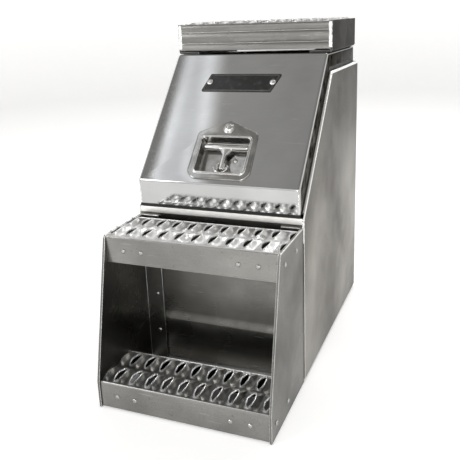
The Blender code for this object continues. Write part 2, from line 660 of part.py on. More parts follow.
# Continuous hinge: body leaf, lid leaf and pin
pitch = 2 * (LID_HALF - 0.004) / KNUCKLES
start_x = -(LID_HALF - 0.004)
run_x = (start_x, -start_x)
bm = bmesh.new()
leaf_z = TOP_Z + GAP
leaf_y = LID_REAR_Y + GAP
block(bm, run_x, (PIN_Y + KNUCKLE_R + 0.0007, REAR_Y - 0.001), (leaf_z, leaf_z + LEAF))
body_leaf = mesh_object("hinge_body_leaf", bm, "steel")
bm = bmesh.new()
block(bm, run_x, (leaf_y, leaf_y + LEAF), (PIN_Z + KNUCKLE_R + 0.0007, DECK_Z - 0.009))
lid_leaf = mesh_object("hinge_lid_leaf", bm, "steel")
body_tabs, lid_tabs = bmesh.new(), bmesh.new()
body_barrels, lid_barrels = bmesh.new(), bmesh.new()
for k in range(KNUCKLES):
    a = start_x + k * pitch + GAP
    b = a + pitch - 2 * GAP
    if k % 2 == 0:
        rod(body_barrels, KNUCKLE_R, (a, PIN_Y, PIN_Z), (b, PIN_Y, PIN_Z))
        run = (PIN_Y, PIN_Y + KNUCKLE_R + 0.002)
        block(body_tabs, (a, b), run, (leaf_z + 0.0002, leaf_z + LEAF + 0.0001))
    else:
        rod(lid_barrels, KNUCKLE_R, (a, PIN_Y, PIN_Z), (b, PIN_Y, PIN_Z))
        run = (PIN_Z, PIN_Z + KNUCKLE_R + 0.002)
        block(lid_tabs, (a, b), (leaf_y + 0.0002, leaf_y + LEAF + 0.0001), run)
bores = [(PIN_R + GAP, (start_x - 0.01, PIN_Y, PIN_Z), (-start_x + 0.01, PIN_Y, PIN_Z))]
for leaf, tabs, barrels, tag in (
    (body_leaf, body_tabs, body_barrels, "body"), (lid_leaf, lid_tabs, lid_barrels, "lid"),
):
    boolean(leaf, mesh_object(tag + "_tabs", tabs), "UNION")
    boolean(leaf, mesh_object(tag + "_barrels", barrels), "UNION")
    drill(leaf, tag + "_bore", bores)
bm = bmesh.new()
rod(bm, PIN_R, (start_x - 0.002, PIN_Y, PIN_Z), (-start_x + 0.002, PIN_Y, PIN_Z))
mesh_object("hinge_pin", bm, "steel")

# Everything that opens with the lid hangs from an empty on the hinge axis
lid_holder = bpy.data.objects.new("lid_axis", None)
collection.objects.link(lid_holder)
lid_holder.location = (0.0, PIN_Y, PIN_Z)
LID_PIECES = (
    "lid_shell", "latch_tray", "latch_spindle", "handle_pin", "spindle_bushing", "latch_cam",
    "cam_nut", "tray_bolt", "tray_nut", "pan_rivet", "name_plate", "name_plate_rivet_1",
    "name_plate_rivet_2", "top_tread", "top_end_left", "top_end_right", "top_weld_left",
    "top_weld_right", "hinge_lid_leaf", "handle_axis",
)
for name in LID_PIECES:
    piece = collection.objects[name]
    piece.parent = lid_holder
    piece.matrix_parent_inverse = Matrix.Translation((0.0, -PIN_Y, -PIN_Z))

# Round pieces are shaded smooth, with their corners kept sharp
for piece in collection.objects:
    if any(word in piece.name for word in ("rivet", "weld", "pin", "bushing", "bolt", "handle")):
        if piece.type == "MESH":
            piece.data.shade_smooth()
            piece.data.set_sharp_from_angle(angle=math.radians(40.0))
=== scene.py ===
import math
import random

import bpy
from mathutils import Matrix, Vector


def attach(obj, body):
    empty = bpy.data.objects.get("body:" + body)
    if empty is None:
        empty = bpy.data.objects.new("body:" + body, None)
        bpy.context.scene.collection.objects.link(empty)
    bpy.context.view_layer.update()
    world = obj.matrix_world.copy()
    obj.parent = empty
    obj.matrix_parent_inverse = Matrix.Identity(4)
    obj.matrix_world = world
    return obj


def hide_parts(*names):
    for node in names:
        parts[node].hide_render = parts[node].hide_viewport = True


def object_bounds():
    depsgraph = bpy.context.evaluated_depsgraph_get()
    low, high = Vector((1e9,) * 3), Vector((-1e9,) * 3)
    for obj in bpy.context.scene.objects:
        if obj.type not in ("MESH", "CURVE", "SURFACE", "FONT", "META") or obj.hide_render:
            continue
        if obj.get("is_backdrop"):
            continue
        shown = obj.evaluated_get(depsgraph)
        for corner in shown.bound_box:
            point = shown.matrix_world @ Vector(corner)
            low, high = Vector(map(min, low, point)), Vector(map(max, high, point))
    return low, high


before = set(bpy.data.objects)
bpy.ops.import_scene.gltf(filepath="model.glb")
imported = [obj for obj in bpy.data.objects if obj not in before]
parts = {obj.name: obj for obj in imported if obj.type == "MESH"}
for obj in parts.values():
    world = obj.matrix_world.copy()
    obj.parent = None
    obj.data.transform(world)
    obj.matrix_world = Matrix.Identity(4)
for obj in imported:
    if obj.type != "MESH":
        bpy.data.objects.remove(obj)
cad_low, cad_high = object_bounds()

# The camera stands before the right front corner of the step box and looks down on it,
# as in the photograph. Its place was fitted to the corners of the box in a 460 x 460 frame.
camera_data = bpy.data.cameras.new("camera")
camera = bpy.data.objects.new("camera", camera_data)
bpy.context.collection.objects.link(camera)
bpy.context.scene.camera = camera
FOCUS_PX, FRAME_PX, SENSOR_MM = 632.8, 460.0, 36.0
STANDPOINT = (0.5007, -1.2910, 0.7493)
camera_data.sensor_width = SENSOR_MM
camera_data.lens = FOCUS_PX * SENSOR_MM / FRAME_PX
camera_data.shift_y = -0.08
camera_data.clip_start, camera_data.clip_end = 0.05, 60.0
yaw, pitch, roll = math.radians(-22.439), math.radians(15.717), math.radians(-2.217)
ahead = Vector((math.sin(yaw) * math.cos(pitch), math.cos(yaw) * math.cos(pitch), -math.sin(pitch)))
level = Vector((math.cos(yaw), -math.sin(yaw), 0.0))
above = level.cross(ahead)
rightward = level * math.cos(roll) + above * math.sin(roll)
upward = above * math.cos(roll) - level * math.sin(roll)
facing = Matrix((rightward, upward, -ahead)).transposed().to_4x4()
camera.matrix_world = Matrix.Translation(STANDPOINT) @ facing
bpy.context.scene.view_settings.view_transform = "Standard"

# The studio: a round white floor whose rim curves up into a wall all round, painted matt.
# What the camera and the metal see of it is lifted to white, and the shadow stays.
FLOOR_RADIUS, FLOOR_GAP = 5.0, 0.0004
WALL_BEND, WALL_HEIGHT, BEND_STEPS = 1.2, 3.2, 8
STUDIO_WHITE = (0.86, 0.86, 0.86, 1.0)
FLOOR_LIFT, WALL_LIFT, FULL_LIFT_HEIGHT = 0.50, 0.76, 1.4
# Under the box the floor isn't lifted, where its shadow lies: the borders in X and in Y.
SHADOW_X, SHADOW_Y = (0.16, 0.19), (0.34, 0.372)


def scaled(tree, value, kind, second, third=None):
    """One arithmetic step on a value; the second and third may be numbers or sockets."""
    node = tree.nodes.new("ShaderNodeMath")
    node.operation = kind
    for socket, given in zip(node.inputs, (value, second, third)):
        if isinstance(given, (int, float)):
            socket.default_value = given
        elif given is not None:
            tree.links.new(given, socket)
    return node.outputs[0]


def spread(tree, value, low, high, out_low=0.0, out_high=1.0):
    """Map a value from one range to another, held at both ends."""
    node = tree.nodes.new("ShaderNodeMapRange")
    node.inputs["From Min"].default_value = low
    node.inputs["From Max"].default_value = high
    node.inputs["To Min"].default_value = out_low
    node.inputs["To Max"].default_value = out_high
    tree.links.new(value, node.inputs["Value"])
    return node.outputs["Result"]


bpy.ops.object.select_all(action="DESELECT")
bpy.ops.mesh.primitive_circle_add(
    vertices=96, radius=FLOOR_RADIUS, fill_type="NGON", location=(0.0, 0.0, cad_low.z - FLOOR_GAP)
)
floor = bpy.context.object
floor.name = "studio_floor"
bpy.ops.object.mode_set(mode="EDIT")
bpy.ops.mesh.select_all(action="DESELECT")
bpy.ops.mesh.select_mode(type="EDGE")
bpy.ops.mesh.select_non_manifold()
for step in range(BEND_STEPS):
    lean, next_lean = (math.radians(90.0 * k / BEND_STEPS) for k in (step, step + 1))
    reach, next_reach = (FLOOR_RADIUS + WALL_BEND * math.sin(turn) for turn in (lean, next_lean))
    grow = next_reach / reach
    rise = WALL_BEND * (math.cos(lean) - math.cos(next_lean))
    bpy.ops.mesh.extrude_edges_move()
    bpy.ops.transform.translate(value=(0.0, 0.0, rise))
    bpy.ops.transform.resize(value=(grow, grow, 1.0))
bpy.ops.mesh.extrude_edges_move()
bpy.ops.transform.translate(value=(0.0, 0.0, WALL_HEIGHT))
bpy.ops.mesh.select_all(action="SELECT")
bpy.ops.mesh.normals_make_consistent(inside=True)
bpy.ops.object.mode_set(mode="OBJECT")
bpy.ops.object.shade_smooth()
bpy.ops.object.transform_apply(location=True)
floor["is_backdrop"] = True
paint = bpy.data.materials.new("studio_white")
paint.use_nodes = True
tree = paint.node_tree
tree.nodes.clear()
matt = tree.nodes.new("ShaderNodeBsdfDiffuse")
matt.inputs["Color"].default_value = STUDIO_WHITE
lift = tree.nodes.new("ShaderNodeEmission")
seen = tree.nodes.new("ShaderNodeLightPath")
any_way = scaled(tree, seen.outputs["Is Camera Ray"], "MAXIMUM", seen.outputs["Is Glossy Ray"])
any_way = scaled(tree, any_way, "MAXIMUM", seen.outputs["Is Transmission Ray"])
axes = tree.nodes.new("ShaderNodeSeparateXYZ")
tree.links.new(tree.nodes.new("ShaderNodeTexCoord").outputs["Object"], axes.inputs[0])
beside = spread(tree, scaled(tree, axes.outputs["X"], "ABSOLUTE", 0.0), *SHADOW_X)
before = spread(tree, scaled(tree, axes.outputs["Y"], "ABSOLUTE", 0.0), *SHADOW_Y)
open_floor = scaled(tree, beside, "MAXIMUM", before)
by_height = spread(tree, axes.outputs["Z"], 0.0, FULL_LIFT_HEIGHT, FLOOR_LIFT, WALL_LIFT)
strength = scaled(tree, scaled(tree, by_height, "MULTIPLY", open_floor), "MULTIPLY", any_way)
tree.links.new(strength, lift.inputs["Strength"])
both = tree.nodes.new("ShaderNodeAddShader")
tree.links.new(matt.outputs[0], both.inputs[0])
tree.links.new(lift.outputs[0], both.inputs[1])
tree.links.new(both.outputs[0], tree.nodes.new("ShaderNodeOutputMaterial").inputs["Surface"])
floor.data.materials.append(paint)

# Light of the hall: dim overhead and to the right, with a wide bluish window high on the
# left, brightest along both sides. It shows in the door, between a dark edge and grey.
# Each pair says where a border of the window, of its bars or of the dark edge begins and
# ends, as a component of the direction.
WINDOW_LEAN, ABOVE, BEHIND = -0.17, (0.60, 0.70), (0.12, 0.02)
WINDOW_LEFT, WINDOW_RIGHT = (-0.516, -0.504), (-0.402, -0.448)
LEFT_BAR, RIGHT_BAR, DARK_EDGE = (-0.474, -0.502), (-0.474, -0.450), (-0.500, -0.516)
RIGHT_TO_LEFT, SIDE_GLOW = (0.3, -0.6), (0.36, 0.55)
LOW_TO_HIGH, HEIGHT_GLOW = (-0.1, 0.5), (0.8, 1.0)
DARK_EDGE_GAIN, WINDOW_GAIN, BAR_GAIN = -0.20, 0.62, 0.55
HALL_COLOUR, WINDOW_COLOUR = (1.0, 0.985, 0.955, 1.0), (0.955, 0.975, 1.0, 1.0)
world = bpy.data.worlds.new("hall")
bpy.context.scene.world = world
world.use_nodes = True
tree = world.node_tree
sky = tree.nodes["Background"]
way = tree.nodes.new("ShaderNodeTexCoord")
split = tree.nodes.new("ShaderNodeSeparateXYZ")
tree.links.new(way.outputs["Generated"], split.inputs[0])
toward_x, toward_y, toward_z = split.outputs
leaning = scaled(tree, toward_y, "MULTIPLY_ADD", WINDOW_LEAN, toward_x)
high_up = scaled(tree, spread(tree, toward_z, *ABOVE), "MULTIPLY", spread(tree, toward_y, *BEHIND))
left_edge = spread(tree, leaning, *WINDOW_LEFT)
right_edge = spread(tree, toward_x, *WINDOW_RIGHT)
window = scaled(tree, scaled(tree, left_edge, "MULTIPLY", right_edge), "MULTIPLY", high_up)
left_bar = scaled(tree, left_edge, "MULTIPLY", spread(tree, leaning, *LEFT_BAR))
right_bar = scaled(tree, right_edge, "MULTIPLY", spread(tree, toward_x, *RIGHT_BAR))
bars = scaled(tree, scaled(tree, left_bar, "ADD", right_bar), "MULTIPLY", window)
dark_edge = scaled(tree, spread(tree, leaning, *DARK_EDGE), "MULTIPLY", high_up)
from_right = spread(tree, toward_x, *RIGHT_TO_LEFT, *SIDE_GLOW)
from_below = spread(tree, toward_z, *LOW_TO_HIGH, *HEIGHT_GLOW)
glow = scaled(tree, from_right, "MULTIPLY", from_below)
glow = scaled(tree, dark_edge, "MULTIPLY_ADD", DARK_EDGE_GAIN, glow)
glow = scaled(tree, window, "MULTIPLY_ADD", WINDOW_GAIN, glow)
glow = scaled(tree, bars, "MULTIPLY_ADD", BAR_GAIN, glow)
blend = tree.nodes.new("ShaderNodeMix")
blend.data_type = "RGBA"
blend.inputs[6].default_value = HALL_COLOUR
blend.inputs[7].default_value = WINDOW_COLOUR
tree.links.new(window, blend.inputs[0])
tree.links.new(blend.outputs[2], sky.inputs["Color"])
tree.links.new(glow, sky.inputs["Strength"])


# Lamps: three large soft boxes, one in front on the left, one high behind the top step and
# a weaker one low in front, for the treads and the toe of the box.
BOX_MIDDLE, TREADS_MIDDLE = (0.0, 0.0, 0.35), (0.0, -0.2, 0.2)
WHITE, WARM_WHITE = (1.0, 1.0, 1.0), (1.0, 0.99, 0.97)


def soft_box(name, place, target, wide, tall, power, colour):
    """A flat studio lamp that faces a point of the step box."""
    data = bpy.data.lights.new(name, "AREA")
    data.shape = "RECTANGLE"
    data.size, data.size_y = wide, tall
    data.energy = power
    data.color = colour
    item = bpy.data.objects.new(name, data)
    bpy.context.collection.objects.link(item)
    item.location = place
    item.rotation_euler = (Vector(place) - Vector(target)).to_track_quat("Z", "Y").to_euler()


soft_box("key_left", (-2.4, -2.4, 1.9), BOX_MIDDLE, wide=1.2, tall=1.2, power=30.0, colour=WHITE)
soft_box("rear_top", (0.4, 1.9, 2.9), BOX_MIDDLE, wide=2.2, tall=1.2, power=45.0, colour=WARM_WHITE)
soft_box(
    "front_low", (0.5, -2.9, 0.9), TREADS_MIDDLE, wide=1.4, tall=1.0, power=22.0, colour=WARM_WHITE
)


# Step plates: two side plates of 4.8 mm mill-finish aluminium, sawn along the leaning
# front edge, whose rear edge is folded in as a flange riveted to the front wall.
NOISE_ROUGHNESS, CLOUD_SWIRL = 0.55, 0.15
CLOUD_RANGE, SCUFF_RANGE = (0.35, 0.68), (0.68, 0.74)
SCUFF_TURN, SCUFF_STRETCH = (0.4, 0.9, 0.3), (14.0, 220.0, 220.0)
EDGE_MASK_RANGE = (0.985, 0.86)


def effect(name, inputs, outputs):
    """A named group of shader nodes with its own inputs and outputs."""
    group = bpy.data.node_groups.new(name, "ShaderNodeTree")
    for label, kind, value in inputs:
        group.interface.new_socket(name=label, in_out="INPUT", socket_type=kind).default_value = value
    for label, kind in outputs:
        group.interface.new_socket(name=label, in_out="OUTPUT", socket_type=kind)
    return group, group.nodes.new("NodeGroupInput"), group.nodes.new("NodeGroupOutput")


def noise(group, vector, scale, detail):
    """The value of a noise texture, from 0 to 1, at the given coordinates."""
    node = group.nodes.new("ShaderNodeTexNoise")
    node.inputs["Scale"].default_value = scale
    node.inputs["Detail"].default_value = detail
    node.inputs["Roughness"].default_value = NOISE_ROUGHNESS
    group.links.new(vector, node.inputs["Vector"])
    return node.outputs["Fac"]


def mixed(group, factor, first, second):
    """One colour turned into another by a factor; a colour may be a value or a socket."""
    node = group.nodes.new("ShaderNodeMix")
    node.data_type = "RGBA"
    sockets = (node.inputs[0], node.inputs[6], node.inputs[7])
    for socket, value in zip(sockets, (factor, first, second)):
        if isinstance(value, tuple):
            socket.default_value = (*value, 1.0)
        else:
            group.links.new(value, socket)
    return node.outputs[2]


rolled, enter, leave = effect(
    "rolled_sheet",
    (("Stretch", "NodeSocketVector", (1.0, 1.0, 1.0)), ("Cloud Size", "NodeSocketFloat", 9.0)),
    (("Grain", "NodeSocketFloat"), ("Clouds", "NodeSocketFloat"), ("Scuffs", "NodeSocketFloat")),
)
place = rolled.nodes.new("ShaderNodeTexCoord").outputs["Object"]
drawn = rolled.nodes.new("ShaderNodeMapping")
rolled.links.new(place, drawn.inputs["Vector"])
rolled.links.new(enter.outputs["Stretch"], drawn.inputs["Scale"])
rolled.links.new(noise(rolled, drawn.outputs[0], scale=1.0, detail=4.0), leave.inputs["Grain"])
cloud = rolled.nodes.new("ShaderNodeTexNoise")
cloud.inputs["Detail"].default_value = 3.0
cloud.inputs["Distortion"].default_value = CLOUD_SWIRL
rolled.links.new(place, cloud.inputs["Vector"])
rolled.links.new(enter.outputs["Cloud Size"], cloud.inputs["Scale"])
rolled.links.new(spread(rolled, cloud.outputs["Fac"], *CLOUD_RANGE), leave.inputs["Clouds"])
long_marks = rolled.nodes.new("ShaderNodeMapping")
long_marks.inputs["Rotation"].default_value = SCUFF_TURN
long_marks.inputs["Scale"].default_value = SCUFF_STRETCH
rolled.links.new(place, long_marks.inputs["Vector"])
marks = spread(rolled, noise(rolled, long_marks.outputs[0], scale=1.0, detail=2.0), *SCUFF_RANGE)
rolled.links.new(marks, leave.inputs["Scuffs"])

# Bright edges: a mask of the rounded edges, lightened in each metal's colour for edge wear and as a
# painted edge highlight, and their rounded normal.
wear_and_glint, enter, leave = effect(
    "wear_and_glint_edges",
    (("Width", "NodeSocketFloat", 0.0012),),
    (("Edge", "NodeSocketFloat"), ("Normal", "NodeSocketVector")),
)
bend = wear_and_glint.nodes.new("ShaderNodeBevel")
bend.samples = 6
wear_and_glint.links.new(enter.outputs["Width"], bend.inputs["Radius"])
true_face = wear_and_glint.nodes.new("ShaderNodeNewGeometry")
compare = wear_and_glint.nodes.new("ShaderNodeVectorMath")
compare.operation = "DOT_PRODUCT"
wear_and_glint.links.new(bend.outputs[0], compare.inputs[0])
wear_and_glint.links.new(true_face.outputs["Normal"], compare.inputs[1])
wear_and_glint.links.new(spread(wear_and_glint, compare.outputs["Value"], *EDGE_MASK_RANGE), leave.inputs["Edge"])
wear_and_glint.links.new(bend.outputs[0], leave.inputs["Normal"])

GRAIN_SHARE, SCUFF_SHARE, SCUFF_ROUGHNESS = 0.35, 0.12, 0.08
GRAIN_DEPTH = 0.0006
WEAR_AND_GLINT_RIM = (0.86, 0.86, 0.85)
SHADING_BORDER_NOISE, SPECK_BORDER = 6.0, 0.03


def aluminium(
    name, dull, bright, rough, stretch, clouds=9.0, relief=0.12, rim=WEAR_AND_GLINT_RIM, width=0.0011, grazing=1.0
):
    """Bare metal: grain along the rolling, soft clouds, light scuffs, and bright edges that are edge
    wear and a painted edge highlight.

    Its grain and clouds run from dull to bright and from the second roughness to the first.
    A value of grazing below 1 holds down the reflection at flat angles.
    """
    mat = bpy.data.materials.new(name)
    mat.use_nodes = True
    tree = mat.node_tree
    shader = tree.nodes["Principled BSDF"]
    shader.inputs["Metallic"].default_value = 1.0
    shader.inputs["Specular Tint"].default_value = (grazing, grazing, grazing, 1.0)
    sheet = tree.nodes.new("ShaderNodeGroup")
    sheet.node_tree = rolled
    sheet.inputs["Stretch"].default_value = stretch
    sheet.inputs["Cloud Size"].default_value = clouds
    edge = tree.nodes.new("ShaderNodeGroup")
    edge.node_tree = wear_and_glint
    edge.inputs["Width"].default_value = width
    grain, cloudy, marks = (sheet.outputs[k] for k in ("Grain", "Clouds", "Scuffs"))
    clouded = scaled(tree, cloudy, "MULTIPLY", 1.0 - GRAIN_SHARE)
    tone = scaled(tree, grain, "MULTIPLY_ADD", GRAIN_SHARE, clouded)
    colour = mixed(tree, tone, dull, bright)
    colour = mixed(tree, scaled(tree, marks, "MULTIPLY", SCUFF_SHARE), colour, rim)
    colour = mixed(tree, edge.outputs["Edge"], colour, rim)
    tree.links.new(colour, shader.inputs["Base Color"])
    gloss = spread(tree, tone, 0.2, 0.8, rough[1], rough[0])
    gloss = scaled(tree, marks, "MULTIPLY_ADD", SCUFF_ROUGHNESS, gloss)
    tree.links.new(gloss, shader.inputs["Roughness"])
    bump = tree.nodes.new("ShaderNodeBump")
    bump.inputs["Strength"].default_value = relief
    bump.inputs["Distance"].default_value = GRAIN_DEPTH
    tree.links.new(grain, bump.inputs["Height"])
    tree.links.new(edge.outputs["Normal"], bump.inputs["Normal"])
    tree.links.new(bump.outputs[0], shader.inputs["Normal"])
    return mat


def dress(mat, *names):
    """Give a material to CAD solids whose shape stays as it is."""
    for name in names:
        for slot in parts[name].material_slots:
            slot.material = mat


def dimmed(tree, shader, amount):
    """Multiply the colour that the shader already gets by an amount."""
    dim = tree.nodes.new("ShaderNodeVectorMath")
    dim.operation = "SCALE"
    tree.links.new(shader.inputs["Base Color"].links[0].from_socket, dim.inputs[0])
    tree.links.new(amount, dim.inputs["Scale"])
    tree.links.new(dim.outputs[0], shader.inputs["Base Color"])


def painted_shading_by_height(mat, low, high, tone, ragged=0.12):
    """Paint light and shade into a metal's colour, lighter or darker from one height to another, with a
    ragged border.
    """
    tree = mat.node_tree
    shader = tree.nodes["Principled BSDF"]
    spot = tree.nodes.new("ShaderNodeTexCoord").outputs["Object"]
    along = tree.nodes.new("ShaderNodeSeparateXYZ")
    tree.links.new(spot, along.inputs[0])
    waver = noise(tree, spot, scale=SHADING_BORDER_NOISE, detail=2.0)
    drift = scaled(tree, waver, "MULTIPLY_ADD", ragged, along.outputs["Z"])
    dimmed(tree, shader, spread(tree, drift, low + ragged / 2.0, high + ragged / 2.0, 1.0, tone))


def speckled(mat, size, share, tone):
    """Small dark spots here and there: dirt, and painted shade for shallow dents."""
    tree = mat.node_tree
    spot = tree.nodes.new("ShaderNodeTexCoord").outputs["Object"]
    spots = noise(tree, spot, scale=size, detail=1.0)
    amount = spread(tree, spots, share, share + SPECK_BORDER, 1.0, tone)
    dimmed(tree, tree.nodes["Principled BSDF"], amount)


ALONG_X = (30.0, 900.0, 900.0)
ALONG_Y = (900.0, 30.0, 900.0)
ALONG_Z = (900.0, 900.0, 30.0)
plate_mill = aluminium(
    "plate_mill", (0.10, 0.098, 0.092), (0.23, 0.226, 0.212), (0.24, 0.38), ALONG_Z,
    clouds=7.0, width=0.0019, grazing=0.77
)
# Painted light: above the height of the upper tread's top the plates are painted 3.4 times lighter.
painted_shading_by_height(plate_mill, low=0.3385, high=0.3405, tone=3.4, ragged=0.001)
speckled(plate_mill, size=480.0, share=0.60, tone=0.82)
dress(plate_mill, "step_plate_left", "step_plate_right")

# Raised-tooth planks: one sheet punched into rows of lens-shaped openings. The metal round
# each opening is pressed up into a toothed rim, and dips between one opening and the next.
PITCH, ROW, EDGE, PLANK_SHEET = 0.0350, 0.0603, 0.0032, 0.0024
OPEN_LONG, OPEN_WIDE, LENS = 0.0235, 0.0080, 1.25
RIM_UP, RIM_LEAST, TOOTH = 0.0040, 0.25, 0.0018
DISH, END_DISH, CURL = 0.0054, 0.0012, 2.2
RIM_POINTS, RING_GROWTH = 56, 1.5
SHARES = (0.0, 0.15, 0.30, 0.50, 0.74, 1.0)
FOLD, GROOVE_HALF, GROOVE_DEEP = 0.0034, 0.0006, 0.0007
COPY_MERGE, SEAM_MERGE = 0.0002, 0.00005
INNER_LOOK, FLANGE_LOOK, TOOTH_GLINT_LOOK = 1, 2, 4
TOLERANCE = 1e-5


def cell_point(turn, ring):
    """Where a point of the punched cell lies: ring 0 is the toothed crest, 5 the border."""
    c, s = math.cos(turn), math.sin(turn)
    lens_x, lens_y = (math.copysign(abs(part) ** LENS, part) for part in (c, s))
    crest = Vector((OPEN_WIDE * lens_x, OPEN_LONG * lens_y, 0.0))
    crest.z = RIM_UP * (RIM_LEAST + (1.0 - RIM_LEAST) * abs(c))
    reach = 0.5 / max(abs(c), abs(s))
    border = Vector((c * PITCH * reach, s * ROW * reach, 0.0))
    side = abs(border.x) / (PITCH / 2.0)
    end = abs(border.y) / (ROW / 2.0)
    border.z = -DISH * (1.0 - end ** 3) * side - END_DISH * end
    point = crest.lerp(border, SHARES[ring])
    point.z = border.z + (crest.z - border.z) * (1.0 - SHARES[ring]) ** CURL
    return point


def plank(name, looks, front, top, phase, half, rows, height, grooves):
    """The punched sheet, trimmed to length, with its front and rear flange folded down."""
    bpy.ops.object.select_all(action="DESELECT")
    bpy.ops.mesh.primitive_circle_add(vertices=RIM_POINTS, radius=1.0)
    item = bpy.context.object
    item.name = name
    bpy.ops.object.mode_set(mode="EDIT")
    bpy.ops.mesh.select_all(action="SELECT")
    for ring in SHARES[1:]:
        bpy.ops.mesh.extrude_edges_move()
        bpy.ops.transform.resize(value=(RING_GROWTH, RING_GROWTH, 1.0))
    bpy.ops.object.mode_set(mode="OBJECT")
    # Every other face of the crest band takes the near-white painted glint of the teeth.
    for face in item.data.polygons:
        if min(face.vertices) < RIM_POINTS and min(face.vertices) % 2 == 0:
            face.material_index = TOOTH_GLINT_LOOK
    for vert in item.data.vertices:
        ring = int(round(math.log(vert.co.length) / math.log(RING_GROWTH)))
        turn = math.atan2(vert.co.y, vert.co.x)
        index = int(round(turn / (2.0 * math.pi) * RIM_POINTS))
        vert.co = cell_point(turn, ring)
        if ring == 0:
            vert.co.z += TOOTH if index % 2 else -TOOTH
    columns = int(math.ceil(half / PITCH)) + 1
    for count, step in ((2 * columns + 1, (PITCH, 0.0, 0.0)), (rows, (0.0, ROW, 0.0))):
        copies = item.modifiers.new("copies", "ARRAY")
        copies.use_relative_offset = False
        copies.use_constant_offset = True
        copies.constant_offset_displace = step
        copies.count = count
        copies.use_merge_vertices = True
        copies.merge_threshold = COPY_MERGE
        bpy.ops.object.modifier_apply(modifier=copies.name)
    start = Vector((phase - columns * PITCH, front + EDGE + ROW / 2.0, top))
    item.data.transform(Matrix.Translation(start))
    bpy.ops.object.mode_set(mode="EDIT")
    for way in (-1.0, 1.0):
        bpy.ops.mesh.select_all(action="SELECT")
        bpy.ops.mesh.bisect(plane_co=(way * half, 0, 0), plane_no=(way, 0, 0), clear_outer=True)
    bpy.ops.object.mode_set(mode="OBJECT")
    rear = front + EDGE * 2.0 + rows * ROW
    for edge_y, wall_y, way in ((front + EDGE, front, 1.0), (rear - EDGE, rear, -1.0)):
        path = [(wall_y + way * FOLD, 0.0), (wall_y + way * FOLD * 0.3, -FOLD * 0.3), (wall_y, -FOLD)]
        for depth in grooves:
            path.append((wall_y, GROOVE_HALF - depth))
            path.append((wall_y + way * GROOVE_DEEP, -depth))
            path.append((wall_y, -depth - GROOVE_HALF))
        path.append((wall_y, -height))
        for vert in item.data.vertices:
            vert.select = abs(vert.co.y - edge_y) < TOLERANCE
        bpy.ops.object.mode_set(mode="EDIT")
        bpy.ops.mesh.select_mode(type="EDGE")
        bpy.ops.object.mode_set(mode="OBJECT")
        for edge in item.data.edges:
            ends = [item.data.vertices[k].co for k in edge.vertices]
            edge.select = all(abs(e.y - edge_y) < TOLERANCE for e in ends)
        for y, z in path:
            bpy.ops.object.mode_set(mode="EDIT")
            bpy.ops.mesh.extrude_edges_move()
            bpy.ops.object.mode_set(mode="OBJECT")
            for vert in item.data.vertices:
                if vert.select:
                    vert.co.y, vert.co.z = y, top + z
    bpy.ops.object.mode_set(mode="EDIT")
    bpy.ops.mesh.select_all(action="SELECT")
    bpy.ops.mesh.remove_doubles(threshold=SEAM_MERGE)
    bpy.ops.mesh.normals_make_consistent(inside=False)
    bpy.ops.object.mode_set(mode="OBJECT")
    if sum(p.normal.z * p.area for p in item.data.polygons) < 0.0:
        bpy.ops.object.mode_set(mode="EDIT")
        bpy.ops.mesh.flip_normals()
        bpy.ops.object.mode_set(mode="OBJECT")
    for mat in looks:
        item.data.materials.append(mat)
    for face in item.data.polygons:
        if abs(face.normal.y) > 0.8 and face.center.z < top - FOLD * 0.5:
            face.material_index = FLANGE_LOOK
    wall = item.modifiers.new("wall", "SOLIDIFY")
    wall.thickness = PLANK_SHEET
    wall.offset = -1.0
    wall.material_offset = INNER_LOOK
    bpy.ops.object.modifier_apply(modifier=wall.name)
    bpy.ops.object.shade_smooth_by_angle(angle=math.radians(50.0))
    return item


flange_mill = aluminium(
    "flange_mill", (0.165, 0.162, 0.155), (0.31, 0.303, 0.287), (0.24, 0.38), ALONG_X,
    clouds=8.0
)
# Painted reflection: the flanges are painted lighter towards the top, the upper tread's a tenth lighter
# than the lower's.
painted_shading_by_height(flange_mill, low=0.06, high=0.30, tone=1.10)
speckled(flange_mill, size=110.0, share=0.705, tone=0.72)
speckled(flange_mill, size=520.0, share=0.60, tone=0.82)
top_flange_mill = aluminium(
    "top_flange_mill", (0.15, 0.148, 0.141), (0.27, 0.265, 0.251), (0.22, 0.36), ALONG_X,
    clouds=8.0
)
# Near-black undersides and inner faces of the punched sheets: painted shade.
plank_inside_shade = aluminium(
    "plank_inside_shade", (0.012, 0.012, 0.011), (0.030, 0.029, 0.027), (0.40, 0.60), ALONG_X,
    clouds=12.0, relief=0.10, rim=(0.06, 0.06, 0.06)
)
BRIGHT = (0.95, 0.95, 0.94)
FINE_GRAIN = (300.0, 300.0, 300.0)
# The teeth's near-white tone is a painted glint on the same metal.
tooth_glint = aluminium(
    "tooth_glint", (0.86, 0.86, 0.85), (0.97, 0.97, 0.96), (0.30, 0.45), FINE_GRAIN,
    clouds=40.0
)
STEP_TREAD = {"half": 0.1774, "rows": 2, "height": 0.055, "grooves": ()}
TOP_TREAD = {"half": 0.1787, "rows": 4, "height": 0.058, "grooves": (0.017, 0.042)}
